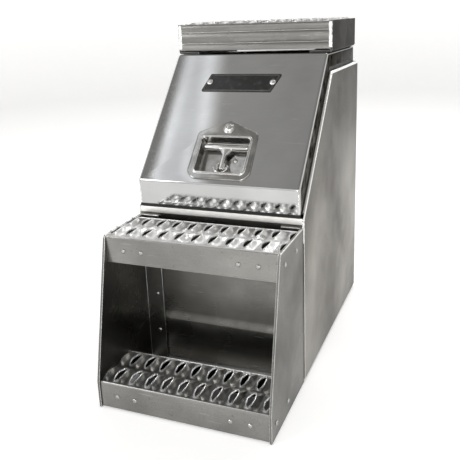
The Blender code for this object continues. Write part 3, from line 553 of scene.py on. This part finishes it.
# The three treads are one pressed metal in three tones, painted light and shade: the lower and upper
# treads painted light, the top tread and its flange painted dark.
for name, body, plan, front, top, phase, dull, bright, grazing, flange in (
    ("lower_tread", "box", STEP_TREAD, -0.364, 0.057, -0.009, 0.50, 0.80, 1.0, flange_mill),
    ("upper_tread", "box", STEP_TREAD, -0.298, 0.342, 0.004, 0.62, 0.88, 1.0, flange_mill),
    ("top_tread", "lid", TOP_TREAD, 0.086, 0.7297, -0.012, 0.20, 0.42, 0.4, top_flange_mill),
):
    pressed = aluminium(
        name + "_metal", (dull, dull, dull), (bright, bright, bright), (0.26, 0.42), ALONG_X,
        clouds=22.0, relief=0.10, rim=BRIGHT, width=0.0012, grazing=grazing
    )
    looks = (pressed, plank_inside_shade, flange, plank_inside_shade, tooth_glint, plank_inside_shade)
    fine = plank(name + "_punched", looks, front, top, phase, **plan)
    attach(fine, body)
    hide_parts(name)

# Corner brackets behind the tread flanges, folded from flat bar, and the domed rivets
# that hold the treads, the brackets and the mounting flanges.
bracket_mill = aluminium(
    "bracket_mill", (0.14, 0.14, 0.135), (0.24, 0.24, 0.23), (0.30, 0.46), ALONG_X,
    clouds=12.0
)
dress(bracket_mill, *[name for name in parts if "_bracket_" in name])
RIVET_GRAIN = (400.0, 400.0, 400.0)
rivet_head = aluminium(
    "rivet_head", (0.30, 0.30, 0.29), (0.48, 0.48, 0.47), (0.16, 0.30), RIVET_GRAIN,
    clouds=60.0
)
dress(rivet_head, *[name for name in parts if "rivet" in name])

# Box body: side panels, front wall with its sill, rear panel and floor, all 3 mm sheet
# welded at the corners. The sides are brushed and half polished, with soft dull clouds,
# and painted darker towards the top as painted shade. The front wall's dark tone is
# painted shade; low on it a painted reflection, a bright band, crosses the sheet, with a
# darker band above it, and the toe below is painted paler.
side_sheet = aluminium(
    "side_sheet", (0.058, 0.054, 0.049), (0.30, 0.288, 0.268), (0.18, 0.32), ALONG_Z,
    clouds=4.0, width=0.0016, grazing=0.54
)
# Painted shade: the sheet is painted darker towards the top.
painted_shading_by_height(side_sheet, low=0.62, high=0.26, tone=2.0)
dress(side_sheet, "rear_panel", "floor_panel")
wall_sheet_painted_shading = aluminium(
    "wall_sheet_painted_shading", (0.11, 0.108, 0.101), (0.24, 0.235, 0.22), (0.20, 0.34), ALONG_X,
    clouds=6.0
)
# Painted reflection and shade in bands up the front wall: a bright band near 0.10, darker above it up
# to 0.175, and a paler toe.
for low, high, tone, ragged in (
    (0.0985, 0.1005, 2.6, 0.002),
    (0.104, 0.122, 0.27, 0.006),
    (0.140, 0.175, 1.5, 0.010),
    (0.045, 0.020, 2.2, 0.010),
):
    painted_shading_by_height(wall_sheet_painted_shading, low=low, high=high, tone=tone, ragged=ragged)
dress(wall_sheet_painted_shading, "front_wall")

# Bulb seal: a strip of black rubber with fine pores and a little dust, pressed on the rim
# of the box, where the lid closes on it.
CLEAN_RUBBER, DUSTY_RUBBER = (0.010, 0.010, 0.010), (0.035, 0.034, 0.032)
seal_rubber = bpy.data.materials.new("seal_rubber")
seal_rubber.use_nodes = True
tree = seal_rubber.node_tree
shader = tree.nodes["Principled BSDF"]
coordinates = tree.nodes.new("ShaderNodeTexCoord").outputs["Object"]
dust = spread(tree, noise(tree, coordinates, scale=160.0, detail=4.0), 0.45, 0.75)
tree.links.new(mixed(tree, dust, CLEAN_RUBBER, DUSTY_RUBBER), shader.inputs["Base Color"])
tree.links.new(spread(tree, dust, 0.0, 1.0, 0.55, 0.8), shader.inputs["Roughness"])
pores = tree.nodes.new("ShaderNodeBump")
pores.inputs["Strength"].default_value = 0.15
pores.inputs["Distance"].default_value = 0.0003
tree.links.new(noise(tree, coordinates, scale=1400.0, detail=2.0), pores.inputs["Height"])
tree.links.new(pores.outputs[0], shader.inputs["Normal"])
dress(seal_rubber, "lid_seal")

# Lid: one polished sheet pressed over the slope and the deck, with side flanges and
# round edges all along; the opening in the door takes the pan of the latch.
LID_HALF, SHEET = 0.1783, 0.0030
SIDE_ROUND, FOLD_ROUND, REAR_ROUND = 0.0066, 0.0090, 0.006
DOOR_FOOT, DOOR_HEAD = (-0.157, 0.420), (0.069, 0.664)
DOOR_LOOK, SHADED_SIDE_LOOK = 0, 1


def rounded(points, radius, steps):
    """A closed outline whose corners become arcs, each of its own radius, or stay at 0."""
    path = []
    for k, (point, r) in enumerate(zip(points, radius)):
        if r == 0.0:
            path.append(point)
            continue
        corner = Vector(point)
        before = (Vector(points[k - 1]) - corner).normalized()
        after = (Vector(points[(k + 1) % len(points)]) - corner).normalized()
        half = before.angle(after) / 2.0
        reach = r / math.tan(half)
        middle = corner + (before + after).normalized() * (r / math.sin(half))
        start = corner + before * reach - middle
        turn = start.angle_signed(corner + after * reach - middle)
        for step in range(steps + 1):
            bent = start.copy()
            bent.rotate(Matrix.Rotation(-turn * step / steps, 2))
            path.append(tuple(middle + bent))
    return path


def slab(name, outline, low, high, place):
    """A solid with the given outline in the first two axes, from low to high in the third."""
    bpy.ops.object.select_all(action="DESELECT")
    bpy.ops.mesh.primitive_circle_add(vertices=len(outline), radius=1.0, fill_type="NGON")
    item = bpy.context.object
    item.name = name
    for vert, (a, b) in zip(item.data.vertices, outline):
        vert.co = (a, b, low)
    bpy.ops.object.mode_set(mode="EDIT")
    bpy.ops.mesh.select_all(action="SELECT")
    bpy.ops.mesh.extrude_region_move()
    bpy.ops.transform.translate(value=(0.0, 0.0, high - low))
    bpy.ops.mesh.select_all(action="SELECT")
    bpy.ops.object.mode_set(mode="OBJECT")
    item.data.transform(place)
    bpy.ops.object.mode_set(mode="EDIT")
    bpy.ops.mesh.normals_make_consistent(inside=False)
    bpy.ops.object.mode_set(mode="OBJECT")
    return item


def oblong(left, low, right, high):
    """The corners of a rectangle, anticlockwise."""
    return [(left, low), (right, low), (right, high), (left, high)]


def apply_modifier(item, kind, **settings):
    """Add one modifier with its settings to a piece and make it real."""
    bpy.context.view_layer.objects.active = item
    change = item.modifiers.new("change", kind)
    for key, value in settings.items():
        setattr(change, key, value)
    bpy.ops.object.modifier_apply(modifier=change.name)


def cut_away(item, tool):
    """Take a tool's volume out of a piece, and the tool out of the scene."""
    apply_modifier(item, "BOOLEAN", operation="DIFFERENCE", solver="EXACT", object=tool)
    bpy.data.objects.remove(tool)


def round_edges(item, wanted, width, steps):
    """Round the edges for which wanted(edge vertices, normals of its faces) holds."""
    normals = {}
    for face in item.data.polygons:
        for key in face.edge_keys:
            normals.setdefault(key, []).append(face.normal.copy())
    weight = item.data.attributes.new("bevel_weight_edge", "FLOAT", "EDGE")
    for edge in item.data.edges:
        ends = [item.data.vertices[k].co for k in edge.vertices]
        weight.data[edge.index].value = 1.0 if wanted(ends, normals.get(edge.key, ())) else 0.0
    apply_modifier(
        item, "BEVEL", width=width, segments=steps, limit_method="WEIGHT", use_clamp_overlap=False,
        loop_slide=True
    )


# Two placings for slabs: ACROSS sets an outline in Y and Z through the box's width, and
# DOOR sets one in X and up the slope on the door, with heights out of its outer face.
slope = (Vector(DOOR_HEAD) - Vector(DOOR_FOOT)).normalized()
ACROSS = Matrix(((0, 0, 1, 0), (1, 0, 0, 0), (0, 1, 0, 0), (0, 0, 0, 1)))
DOOR = Matrix((
    (1.0, 0.0, 0.0, 0.0),
    (0.0, slope.x, -slope.y, DOOR_FOOT[0]),
    (0.0, slope.y, slope.x, DOOR_FOOT[1]),
    (0.0, 0.0, 0.0, 1.0),
))


def inset(points, depth):
    """The corners of an anticlockwise outline, moved in by a given depth."""
    moved = []
    for k, corner in enumerate(points):
        into = (Vector(corner) - Vector(points[k - 1])).normalized()
        out = (Vector(points[(k + 1) % len(points)]) - Vector(corner)).normalized()
        sides = Vector((-into.y, into.x)), Vector((-out.y, out.x))
        step = (sides[0] + sides[1]) * depth / (1.0 + sides[0].dot(sides[1]))
        moved.append(tuple(Vector(corner) + step))
    return moved


def pressed_body(name, skin):
    """The lid as a full body, skin inside its outer faces, with its side edges rounded."""
    corners = [(-0.1531, 0.320), (0.344, 0.550), (0.344, 0.664), DOOR_HEAD, DOOR_FOOT]
    corners = inset(corners, depth=skin)
    for k in (0, 1):
        corners[k] = (corners[k][0], corners[k][1] - 3.0 * skin)
    bends = [0.0, 0.0, REAR_ROUND - skin, FOLD_ROUND - skin, FOLD_ROUND - skin]
    half = LID_HALF - skin
    body = slab(name, rounded(corners, bends, steps=5), -half, half, ACROSS)
    round_edges(
        body,
        lambda ends, sides: abs(ends[0].x) > half - TOLERANCE
        and abs(ends[0].x - ends[1].x) < TOLERANCE
        and any(abs(n.x) < 0.5 and n.z > -0.5 for n in sides),
        width=SIDE_ROUND - skin,
        steps=6,
    )
    return body


lid = pressed_body("lid_pressed", skin=0.0)
cut_away(lid, pressed_body("lid_inside", skin=SHEET))
below = [
    (-0.19, 0.25), (0.40, 0.25), (0.40, 0.6325), (0.0813, 0.6325),
    (-0.1519, 0.3745), (-0.1519, 0.3685), (-0.19, 0.3685),
]
cut_away(lid, slab("below_the_rim", below, -0.25, 0.25, ACROSS))
opening = rounded(oblong(-0.0566, 0.0244, 0.0566, 0.1126), [0.007] * 4, steps=5)
cut_away(lid, slab("pan_opening", opening, -0.012, 0.012, DOOR))
bpy.context.view_layer.objects.active = lid
bpy.ops.object.select_all(action="DESELECT")
lid.select_set(True)
bpy.ops.object.shade_smooth_by_angle(angle=math.radians(28.0))
lid.data.materials.append(aluminium(
    "door_polish", (0.40, 0.402, 0.40), (0.54, 0.542, 0.54), (0.035, 0.075), ALONG_X,
    clouds=6.0, relief=0.05, grazing=0.45
))
lid.data.materials.append(aluminium(
    "flange_polish_shaded", (0.055, 0.052, 0.048), (0.34, 0.33, 0.31), (0.10, 0.22), ALONG_Y,
    clouds=45.0, grazing=0.22
))
# The side faces of the lid get a much darker copy of its polish: painted shade.
for face in lid.data.polygons:
    face.material_index = SHADED_SIDE_LOOK if abs(face.normal.x) > 0.97 else DOOR_LOOK
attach(lid, "lid")
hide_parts("lid_shell")

# Side panels: one sheet each, whose rim is folded in along the slope and the top over a
# round bend, short of the sill and of the rear corner.
BOX_HALF, RIM_DEEP, OUTER_ROUND, INNER_ROUND = 0.1845, 0.0250, 0.0052, 0.0024
RIM_FIT = 0.0002
PANEL_LOOK, LIT_RIM_LOOK = 0, 1
side_outline = [(-0.150, 0.0064), (0.367, 0.0064), (0.367, 0.624), (0.085, 0.624), (-0.150, 0.360)]
open_outline = [(-0.180, -0.02), (0.390, -0.02), (0.390, 0.624), (0.085, 0.624), (-0.180, 0.3263)]
RIM_ENDS = ((-0.17, -0.1404), (0.3383, 0.38))


def joined(name, pieces):
    """One piece made of several, smooth but for its sharp edges."""
    bpy.ops.object.select_all(action="DESELECT")
    for piece in pieces:
        piece.select_set(True)
    bpy.context.view_layer.objects.active = pieces[0]
    if len(pieces) > 1:
        bpy.ops.object.join()
    pieces[0].name = name
    bpy.ops.object.shade_smooth_by_angle(angle=math.radians(40.0))
    return pieces[0]


def to_one_side(name, outline, near, far, way):
    """A slab through part of the width, from near to far on the left or on the right."""
    return slab(name, outline, min(way * near, way * far), max(way * near, way * far), ACROSS)


def round_rim(item, half, width, steps):
    """Round the upper outer edge of a panel, along the slope and the top."""
    round_edges(
        item,
        lambda ends, sides: all(abs(abs(e.x) - half) < TOLERANCE for e in ends)
        and abs(ends[0].x - ends[1].x) < TOLERANCE
        and any(n.z > 0.5 for n in sides),
        width=width,
        steps=steps,
    )


rim_painted_light = aluminium(
    "rim_painted_light", (0.74, 0.735, 0.72), (0.94, 0.935, 0.92), (0.20, 0.34), ALONG_Y,
    clouds=14.0
)
for side, way in (("left", -1.0), ("right", 1.0)):
    panel = to_one_side("side_panel_" + side + "_folded", side_outline, 0.0, BOX_HALF, way)
    round_rim(panel, BOX_HALF, width=OUTER_ROUND, steps=5)
    room = to_one_side("room", inset(open_outline, depth=SHEET), -0.01, BOX_HALF - SHEET, way)
    round_rim(room, BOX_HALF - SHEET, width=INNER_ROUND, steps=4)
    cut_away(panel, room)
    middle = oblong(-0.2, -0.1, 0.4, 0.7)
    cut_away(panel, to_one_side("middle", middle, -0.02, BOX_HALF - RIM_DEEP, way))
    for low_y, high_y in RIM_ENDS:
        corner = oblong(low_y, 0.30, high_y, 0.70)
        cut_away(panel, to_one_side("corner", corner, 0.10, BOX_HALF - SHEET - RIM_FIT, way))
    panel = joined(panel.name, [panel])
    panel.data.materials.append(side_sheet)
    panel.data.materials.append(rim_painted_light)
    # The upward faces of the rounded rim get a near-white copy of the sheet: painted light.
    for face in panel.data.polygons:
        bent = face.normal.z > 0.12 and abs(face.center.x) > BOX_HALF - OUTER_ROUND - 0.0004
        face.material_index = LIT_RIM_LOOK if bent else PANEL_LOOK
    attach(panel, "box")
    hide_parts("side_panel_" + side)

# Sill bar: a flat bar with rounded outer edges, welded along the top of the front wall,
# just under the lower edge of the lid. Its near-white tone, far lighter than the wall's
# sheet, is painted light.
SILL_HALF, SILL_ROUND = 0.1815, 0.0009
sill_painted_light = aluminium(
    "sill_painted_light", (0.82, 0.81, 0.79), (0.95, 0.94, 0.92), (0.46, 0.60), ALONG_X,
    clouds=5.0, relief=0.03
)
sill = slab("sill_bar", oblong(-0.1508, 0.3468, -0.1488, 0.3599), -SILL_HALF, SILL_HALF, ACROSS)
round_edges(sill, lambda ends, sides: any(n.y < -0.5 for n in sides), width=SILL_ROUND, steps=3)
sill = joined("sill_bar", [sill])
sill.data.materials.append(sill_painted_light)
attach(sill, "box")

# Weld beads: overlapping ripples of bright filler at the front corners of the top step,
# the lower corners of the lid, and the corners of the box beside the sill.
RIPPLE_STEP, RIPPLE_LONG, RIPPLE_SHIFT = 0.0023, 0.0019, 0.0003
BEAD_VOXEL = 0.00055
TOP_WELD_X, LID_WELD_X, SILL_WELD_X = 0.1790, 0.1745, 0.1822
random.seed(7)
weld_metal = aluminium(
    "weld_metal", (0.60, 0.60, 0.59), (0.86, 0.86, 0.85), (0.22, 0.36), (500.0, 500.0, 500.0),
    clouds=80.0
)


def bead(name, body, start, end, wide, proud, out, replaced=()):
    """Ripples from start to end, with their width and their height in direction out."""
    start, end = Vector(start), Vector(end)
    turn = Matrix.Rotation(math.atan2(out[1], out[0]) + math.pi / 2.0, 4, "Z")
    drops = []
    count = max(1, int((end - start).length / RIPPLE_STEP))
    for k in range(count + 1):
        bpy.ops.object.select_all(action="DESELECT")
        bpy.ops.mesh.primitive_uv_sphere_add(segments=14, ring_count=8, radius=1.0)
        drop = bpy.context.object
        size = random.uniform(0.88, 1.08)
        shift = Vector([random.uniform(-RIPPLE_SHIFT, RIPPLE_SHIFT) for _ in range(3)])
        shape = Matrix.Diagonal((wide * size, proud * size, RIPPLE_LONG, 1.0))
        drop.data.transform(Matrix.Translation(start.lerp(end, k / count) + shift) @ turn @ shape)
        drops.append(drop)
    item = joined(name, drops)
    apply_modifier(item, "REMESH", mode="VOXEL", voxel_size=BEAD_VOXEL, use_smooth_shade=True)
    item.data.materials.append(weld_metal)
    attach(item, body)
    if replaced:
        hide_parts(*replaced)


for side, way in (("left", -1.0), ("right", 1.0)):
    x = way * TOP_WELD_X
    run = (x, 0.0872, 0.6755), (x, 0.0872, 0.7275)
    name = "top_weld_" + side
    bead(name + "_ripples", "lid", *run, wide=0.0048, proud=0.0024, out=(0, -1), replaced=(name,))
    x = way * LID_WELD_X
    run = (x, -0.1536, 0.3710), (x, -0.1550, 0.4100)
    bead("lid_corner_weld_" + side, "lid", *run, wide=0.0026, proud=0.0016, out=(0, -1))
    x = way * SILL_WELD_X
    run = (x, -0.1494, 0.3100), (x, -0.1494, 0.3590)
    bead("sill_corner_weld_" + side, "box", *run, wide=0.0030, proud=0.0022, out=(way, -1))

# Latch: a pressed stainless tray with a rolled rim round its pan, a folding T-handle on
# its spindle, a domed bolt at the peak, and the cam behind. The rolled rim, the handle and
# the small parts are bright as chrome; the flat border and the pan, one pressed sheet with
# the rim, are painted darker as painted shade, and all their edges get a painted highlight.
PAN_HALF, PAN_LOW, PAN_HIGH, PAN_DEEP = 0.0560, 0.0250, 0.1120, 0.0220
PAN_SHEET, PAN_FIT = 0.0014, 0.0002
CHROME_EDGE_GLINT = (0.95, 0.95, 0.95)
chrome = aluminium(
    "latch_steel", (0.42, 0.418, 0.41), (0.76, 0.755, 0.745), (0.04, 0.12), FINE_GRAIN,
    clouds=30.0, relief=0.03, rim=CHROME_EDGE_GLINT, width=0.0015
)
dress(chrome, "latch_spindle", "handle_pin", "spindle_bushing", "latch_cam", "cam_nut")
dress(chrome, "tray_nut", "pan_rivet")
border_steel_shaded = aluminium(
    "border_steel_shaded", (0.22, 0.218, 0.21), (0.46, 0.455, 0.44), (0.06, 0.14), FINE_GRAIN,
    clouds=30.0, relief=0.03, rim=CHROME_EDGE_GLINT, width=0.0016
)
pan_steel_shaded = aluminium(
    "pan_steel_shaded", (0.27, 0.267, 0.258), (0.50, 0.495, 0.48), (0.12, 0.24), FINE_GRAIN,
    clouds=40.0, relief=0.04
)


def pan_outline(grow, bend):
    """The pan's rounded outline on the door, made larger all round by a given amount."""
    corners = oblong(-PAN_HALF - grow, PAN_LOW - grow, PAN_HALF + grow, PAN_HIGH + grow)
    return rounded(corners, [bend] * 4, steps=6)


def on_door(name, outline, low, high, edge=0.0, steps=0, faces_out=True):
    """A slab from low to high over the door, with its outer or its inner edges rounded."""
    item = slab(name, outline, low, high, DOOR)
    out = Vector((0.0, -slope.y, slope.x)) * (1.0 if faces_out else -1.0)
    if steps:
        round_edges(
            item,
            lambda ends, sides: any(n.dot(out) > 0.9 for n in sides)
            and any(abs(n.dot(out)) < 0.6 for n in sides),
            width=edge,
            steps=steps,
        )
    return item


def mirrored(points):
    """The left half of an outline on the door, from its right half."""
    return [(-u, v) for u, v in reversed(points)]


half_border = [(0.055, 0.010), (0.070, 0.025), (0.068, 0.122)]
border = half_border + [(0.0, 0.153)] + mirrored(half_border)
border = rounded(border, [0.018, 0.018, 0.012, 0.008, 0.012, 0.018, 0.018], steps=6)
plate = on_door("tray_border", border, low=0.0003, high=0.0036, edge=0.0026, steps=5)
cut_away(plate, on_door("pan_hole", pan_outline(grow=-0.0004, bend=0.0090), low=-0.01, high=0.02))
outer = pan_outline(grow=-PAN_FIT, bend=0.0092)
pan = on_door("pan", outer, low=-PAN_DEEP, high=0.0034, edge=0.0060, steps=5, faces_out=False)
inner = pan_outline(grow=-PAN_FIT - PAN_SHEET, bend=0.0080)
cut_away(pan, on_door(
    "pan_room", inner, low=PAN_SHEET - PAN_DEEP, high=0.012, edge=0.0046, steps=5, faces_out=False
))
outer = pan_outline(grow=0.0022, bend=0.0110)
roll = on_door("pan_roll", outer, low=0.0030, high=0.0062, edge=0.0014, steps=4)
inner = pan_outline(grow=-0.0010, bend=0.0078)
cut_away(roll, on_door(
    "roll_room", inner, low=-0.002, high=0.012, edge=0.0004, steps=1, faces_out=False
))
for item, mat in ((plate, border_steel_shaded), (pan, pan_steel_shaded), (roll, chrome)):
    item.data.materials.append(mat)
tray = joined("latch_tray_pressed", [plate, pan, roll])
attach(tray, "lid")
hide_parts("latch_tray")


def domed_head(name, u, v, low, high, radius):
    """A domed head on the door, as a squashed ball."""
    bpy.ops.object.select_all(action="DESELECT")
    bpy.ops.mesh.primitive_uv_sphere_add(segments=32, ring_count=16, radius=1.0)
    item = bpy.context.object
    item.name = name
    squash = Matrix.Diagonal((radius, radius, (high - low) / 2.0, 1.0))
    item.data.transform(DOOR @ Matrix.Translation((u, v, (low + high) / 2.0)) @ squash)
    return item


dome = domed_head("bolt_dome", u=0.0, v=0.1325, low=0.0030, high=0.0098, radius=0.0088)
washer = rounded(oblong(-0.0120, 0.1205, 0.0120, 0.1445), [0.0119] * 4, steps=8)
collar = on_door("bolt_collar", washer, low=0.0034, high=0.0054, edge=0.0008, steps=3)
core = rounded(oblong(-0.0038, 0.1272, 0.0038, 0.1348), [0.0037] * 4, steps=5)
shank = on_door("bolt_shank", core, low=-0.0085, high=0.0040)
bolt = joined("tray_bolt_domed", [dome, collar, shank])
bolt.data.materials.append(chrome)
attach(bolt, "lid")
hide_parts("tray_bolt")

# In the pan a ring, a half ring over it and two cheeks hold the foot of the handle.
HUB_V, HALF_RING_CUT = 0.044, -0.0042
CHEEK_NEAR, CHEEK_FAR = 0.0122, 0.0166
hub = []
for major, minor, deep, whole in ((0.0128, 0.0019, -0.0172, True), (0.0146, 0.0026, -0.0044, False)):
    bpy.ops.object.select_all(action="DESELECT")
    bpy.ops.mesh.primitive_torus_add(
        major_radius=major, minor_radius=minor, major_segments=64, minor_segments=14
    )
    ring = bpy.context.object
    if not whole:
        bpy.ops.object.mode_set(mode="EDIT")
        bpy.ops.mesh.select_all(action="SELECT")
        cut = {"plane_co": (0, HALF_RING_CUT, 0), "plane_no": (0, 1, 0)}
        bpy.ops.mesh.bisect(**cut, use_fill=True, clear_outer=True)
        bpy.ops.object.mode_set(mode="OBJECT")
    ring.data.transform(DOOR @ Matrix.Translation((0.0, HUB_V, deep)))
    hub.append(ring)
for left, right in ((-CHEEK_FAR, -CHEEK_NEAR), (CHEEK_NEAR, CHEEK_FAR)):
    cheek = rounded(oblong(left, 0.0385, right, 0.0445), [0.0015] * 4, steps=4)
    floor_height = PAN_SHEET + PAN_FIT - PAN_DEEP
    hub.append(on_door("cheek", cheek, low=floor_height, high=-0.0022, edge=0.0012, steps=3))
ring = joined("hub_ring", hub)
ring.data.materials.append(chrome)
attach(ring, "lid")

BAR_RADIUS, BAR_LONG, BAR_ROUND = 0.0058, 0.0996, 0.0034
BAR_PLACE = (0.0, 0.092, -0.0085)
bpy.ops.object.select_all(action="DESELECT")
bpy.ops.mesh.primitive_cylinder_add(vertices=32, radius=BAR_RADIUS, depth=BAR_LONG)
bar = bpy.context.object
lying = Matrix.Rotation(math.radians(90.0), 4, "Y")
bar.data.transform(DOOR @ Matrix.Translation(BAR_PLACE) @ lying)
round_edges(
    bar,
    lambda ends, sides: any(abs(n.x) > 0.9 for n in sides) and any(abs(n.x) < 0.1 for n in sides),
    width=BAR_ROUND,
    steps=5,
)
half_stem = [(0.0046, 0.0395), (0.0042, 0.0740), (0.0150, 0.0890)]
stem_rounds = [0.0042, 0.012, 0.001, 0.001, 0.012, 0.0042]
stem_shape = rounded(half_stem + mirrored(half_stem), stem_rounds, steps=5)
stem = on_door("stem", stem_shape, low=-0.0120, high=-0.0050, edge=0.0016, steps=4)
handle = joined("t_handle_forged", [bar, stem])
handle.data.materials.append(chrome)
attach(handle, "handle")
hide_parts("t_handle")

# Name plate: a bare black anodised parallelogram with a raised line round it, on the door,
# and the two bright domed rivets that hold it.
ANODISED, RUBBED, BARE_EDGE = (0.012, 0.012, 0.012), (0.05, 0.05, 0.05), (0.30, 0.30, 0.29)
black_plate = bpy.data.materials.new("black_plate")
black_plate.use_nodes = True
tree = black_plate.node_tree
shader = tree.nodes["Principled BSDF"]
coordinates = tree.nodes.new("ShaderNodeTexCoord").outputs["Object"]
rub = spread(tree, noise(tree, coordinates, scale=90.0, detail=5.0), 0.5, 0.8)
edge = tree.nodes.new("ShaderNodeGroup")
edge.node_tree = wear_and_glint
edge.inputs["Width"].default_value = 0.0007
colour = mixed(tree, rub, ANODISED, RUBBED)
tree.links.new(mixed(tree, edge.outputs["Edge"], colour, BARE_EDGE), shader.inputs["Base Color"])
tree.links.new(spread(tree, rub, 0.0, 1.0, 0.3, 0.5), shader.inputs["Roughness"])
grained = tree.nodes.new("ShaderNodeBump")
grained.inputs["Strength"].default_value = 0.10
grained.inputs["Distance"].default_value = 0.0003
tree.links.new(noise(tree, coordinates, scale=1100.0, detail=2.0), grained.inputs["Height"])
tree.links.new(edge.outputs["Normal"], grained.inputs["Normal"])
tree.links.new(grained.outputs[0], shader.inputs["Normal"])
plate_shape = [(-0.092, 0.229), (0.070, 0.229), (0.088, 0.276), (-0.078, 0.276)]
outline = rounded(plate_shape, [0.003] * 4, steps=4)
badge = on_door("name_plate_bare", outline, low=0.0003, high=0.0019, edge=0.0007, steps=3)
outline = rounded(inset(plate_shape, depth=0.0022), [0.003] * 4, steps=4)
frame_line = on_door("frame_line", outline, low=0.0010, high=0.0025, edge=0.0005, steps=2)
outline = rounded(inset(plate_shape, depth=0.0040), [0.002] * 4, steps=4)
cut_away(frame_line, on_door("field", outline, low=-0.01, high=0.01))
badge = joined("name_plate_bare", [badge, frame_line])
badge.data.materials.append(black_plate)
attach(badge, "lid")
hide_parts("name_plate")
rivet_bright = aluminium(
    "rivet_bright", (0.70, 0.70, 0.69), (0.90, 0.90, 0.89), (0.14, 0.26), RIVET_GRAIN,
    clouds=60.0
)
for k, u in enumerate((-0.076, 0.071)):
    head = domed_head("head", u=u, v=0.2535, low=0.0004, high=0.0044, radius=0.0068)
    head = joined(f"name_plate_rivet_{k + 1}_domed", [head])
    head.data.materials.append(rivet_bright)
    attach(head, "lid")
    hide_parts(f"name_plate_rivet_{k + 1}")

# Top step: dull end plates of 4 mm sheet that stand on the deck and close its ends, with
# lips folded in at the foot.
top_end_mill = aluminium(
    "top_end_mill", (0.03, 0.029, 0.027), (0.085, 0.082, 0.076), (0.26, 0.38), ALONG_Y,
    clouds=9.0, grazing=0.42
)
dress(top_end_mill, "top_end_left", "top_end_right")

# Continuous hinge across the rear: two rolled leaves of mill-finish aluminium, one on the
# box and one on the lid, and the pin through both.
dress(bracket_mill, "hinge_body_leaf", "hinge_lid_leaf", "hinge_pin")

low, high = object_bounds()
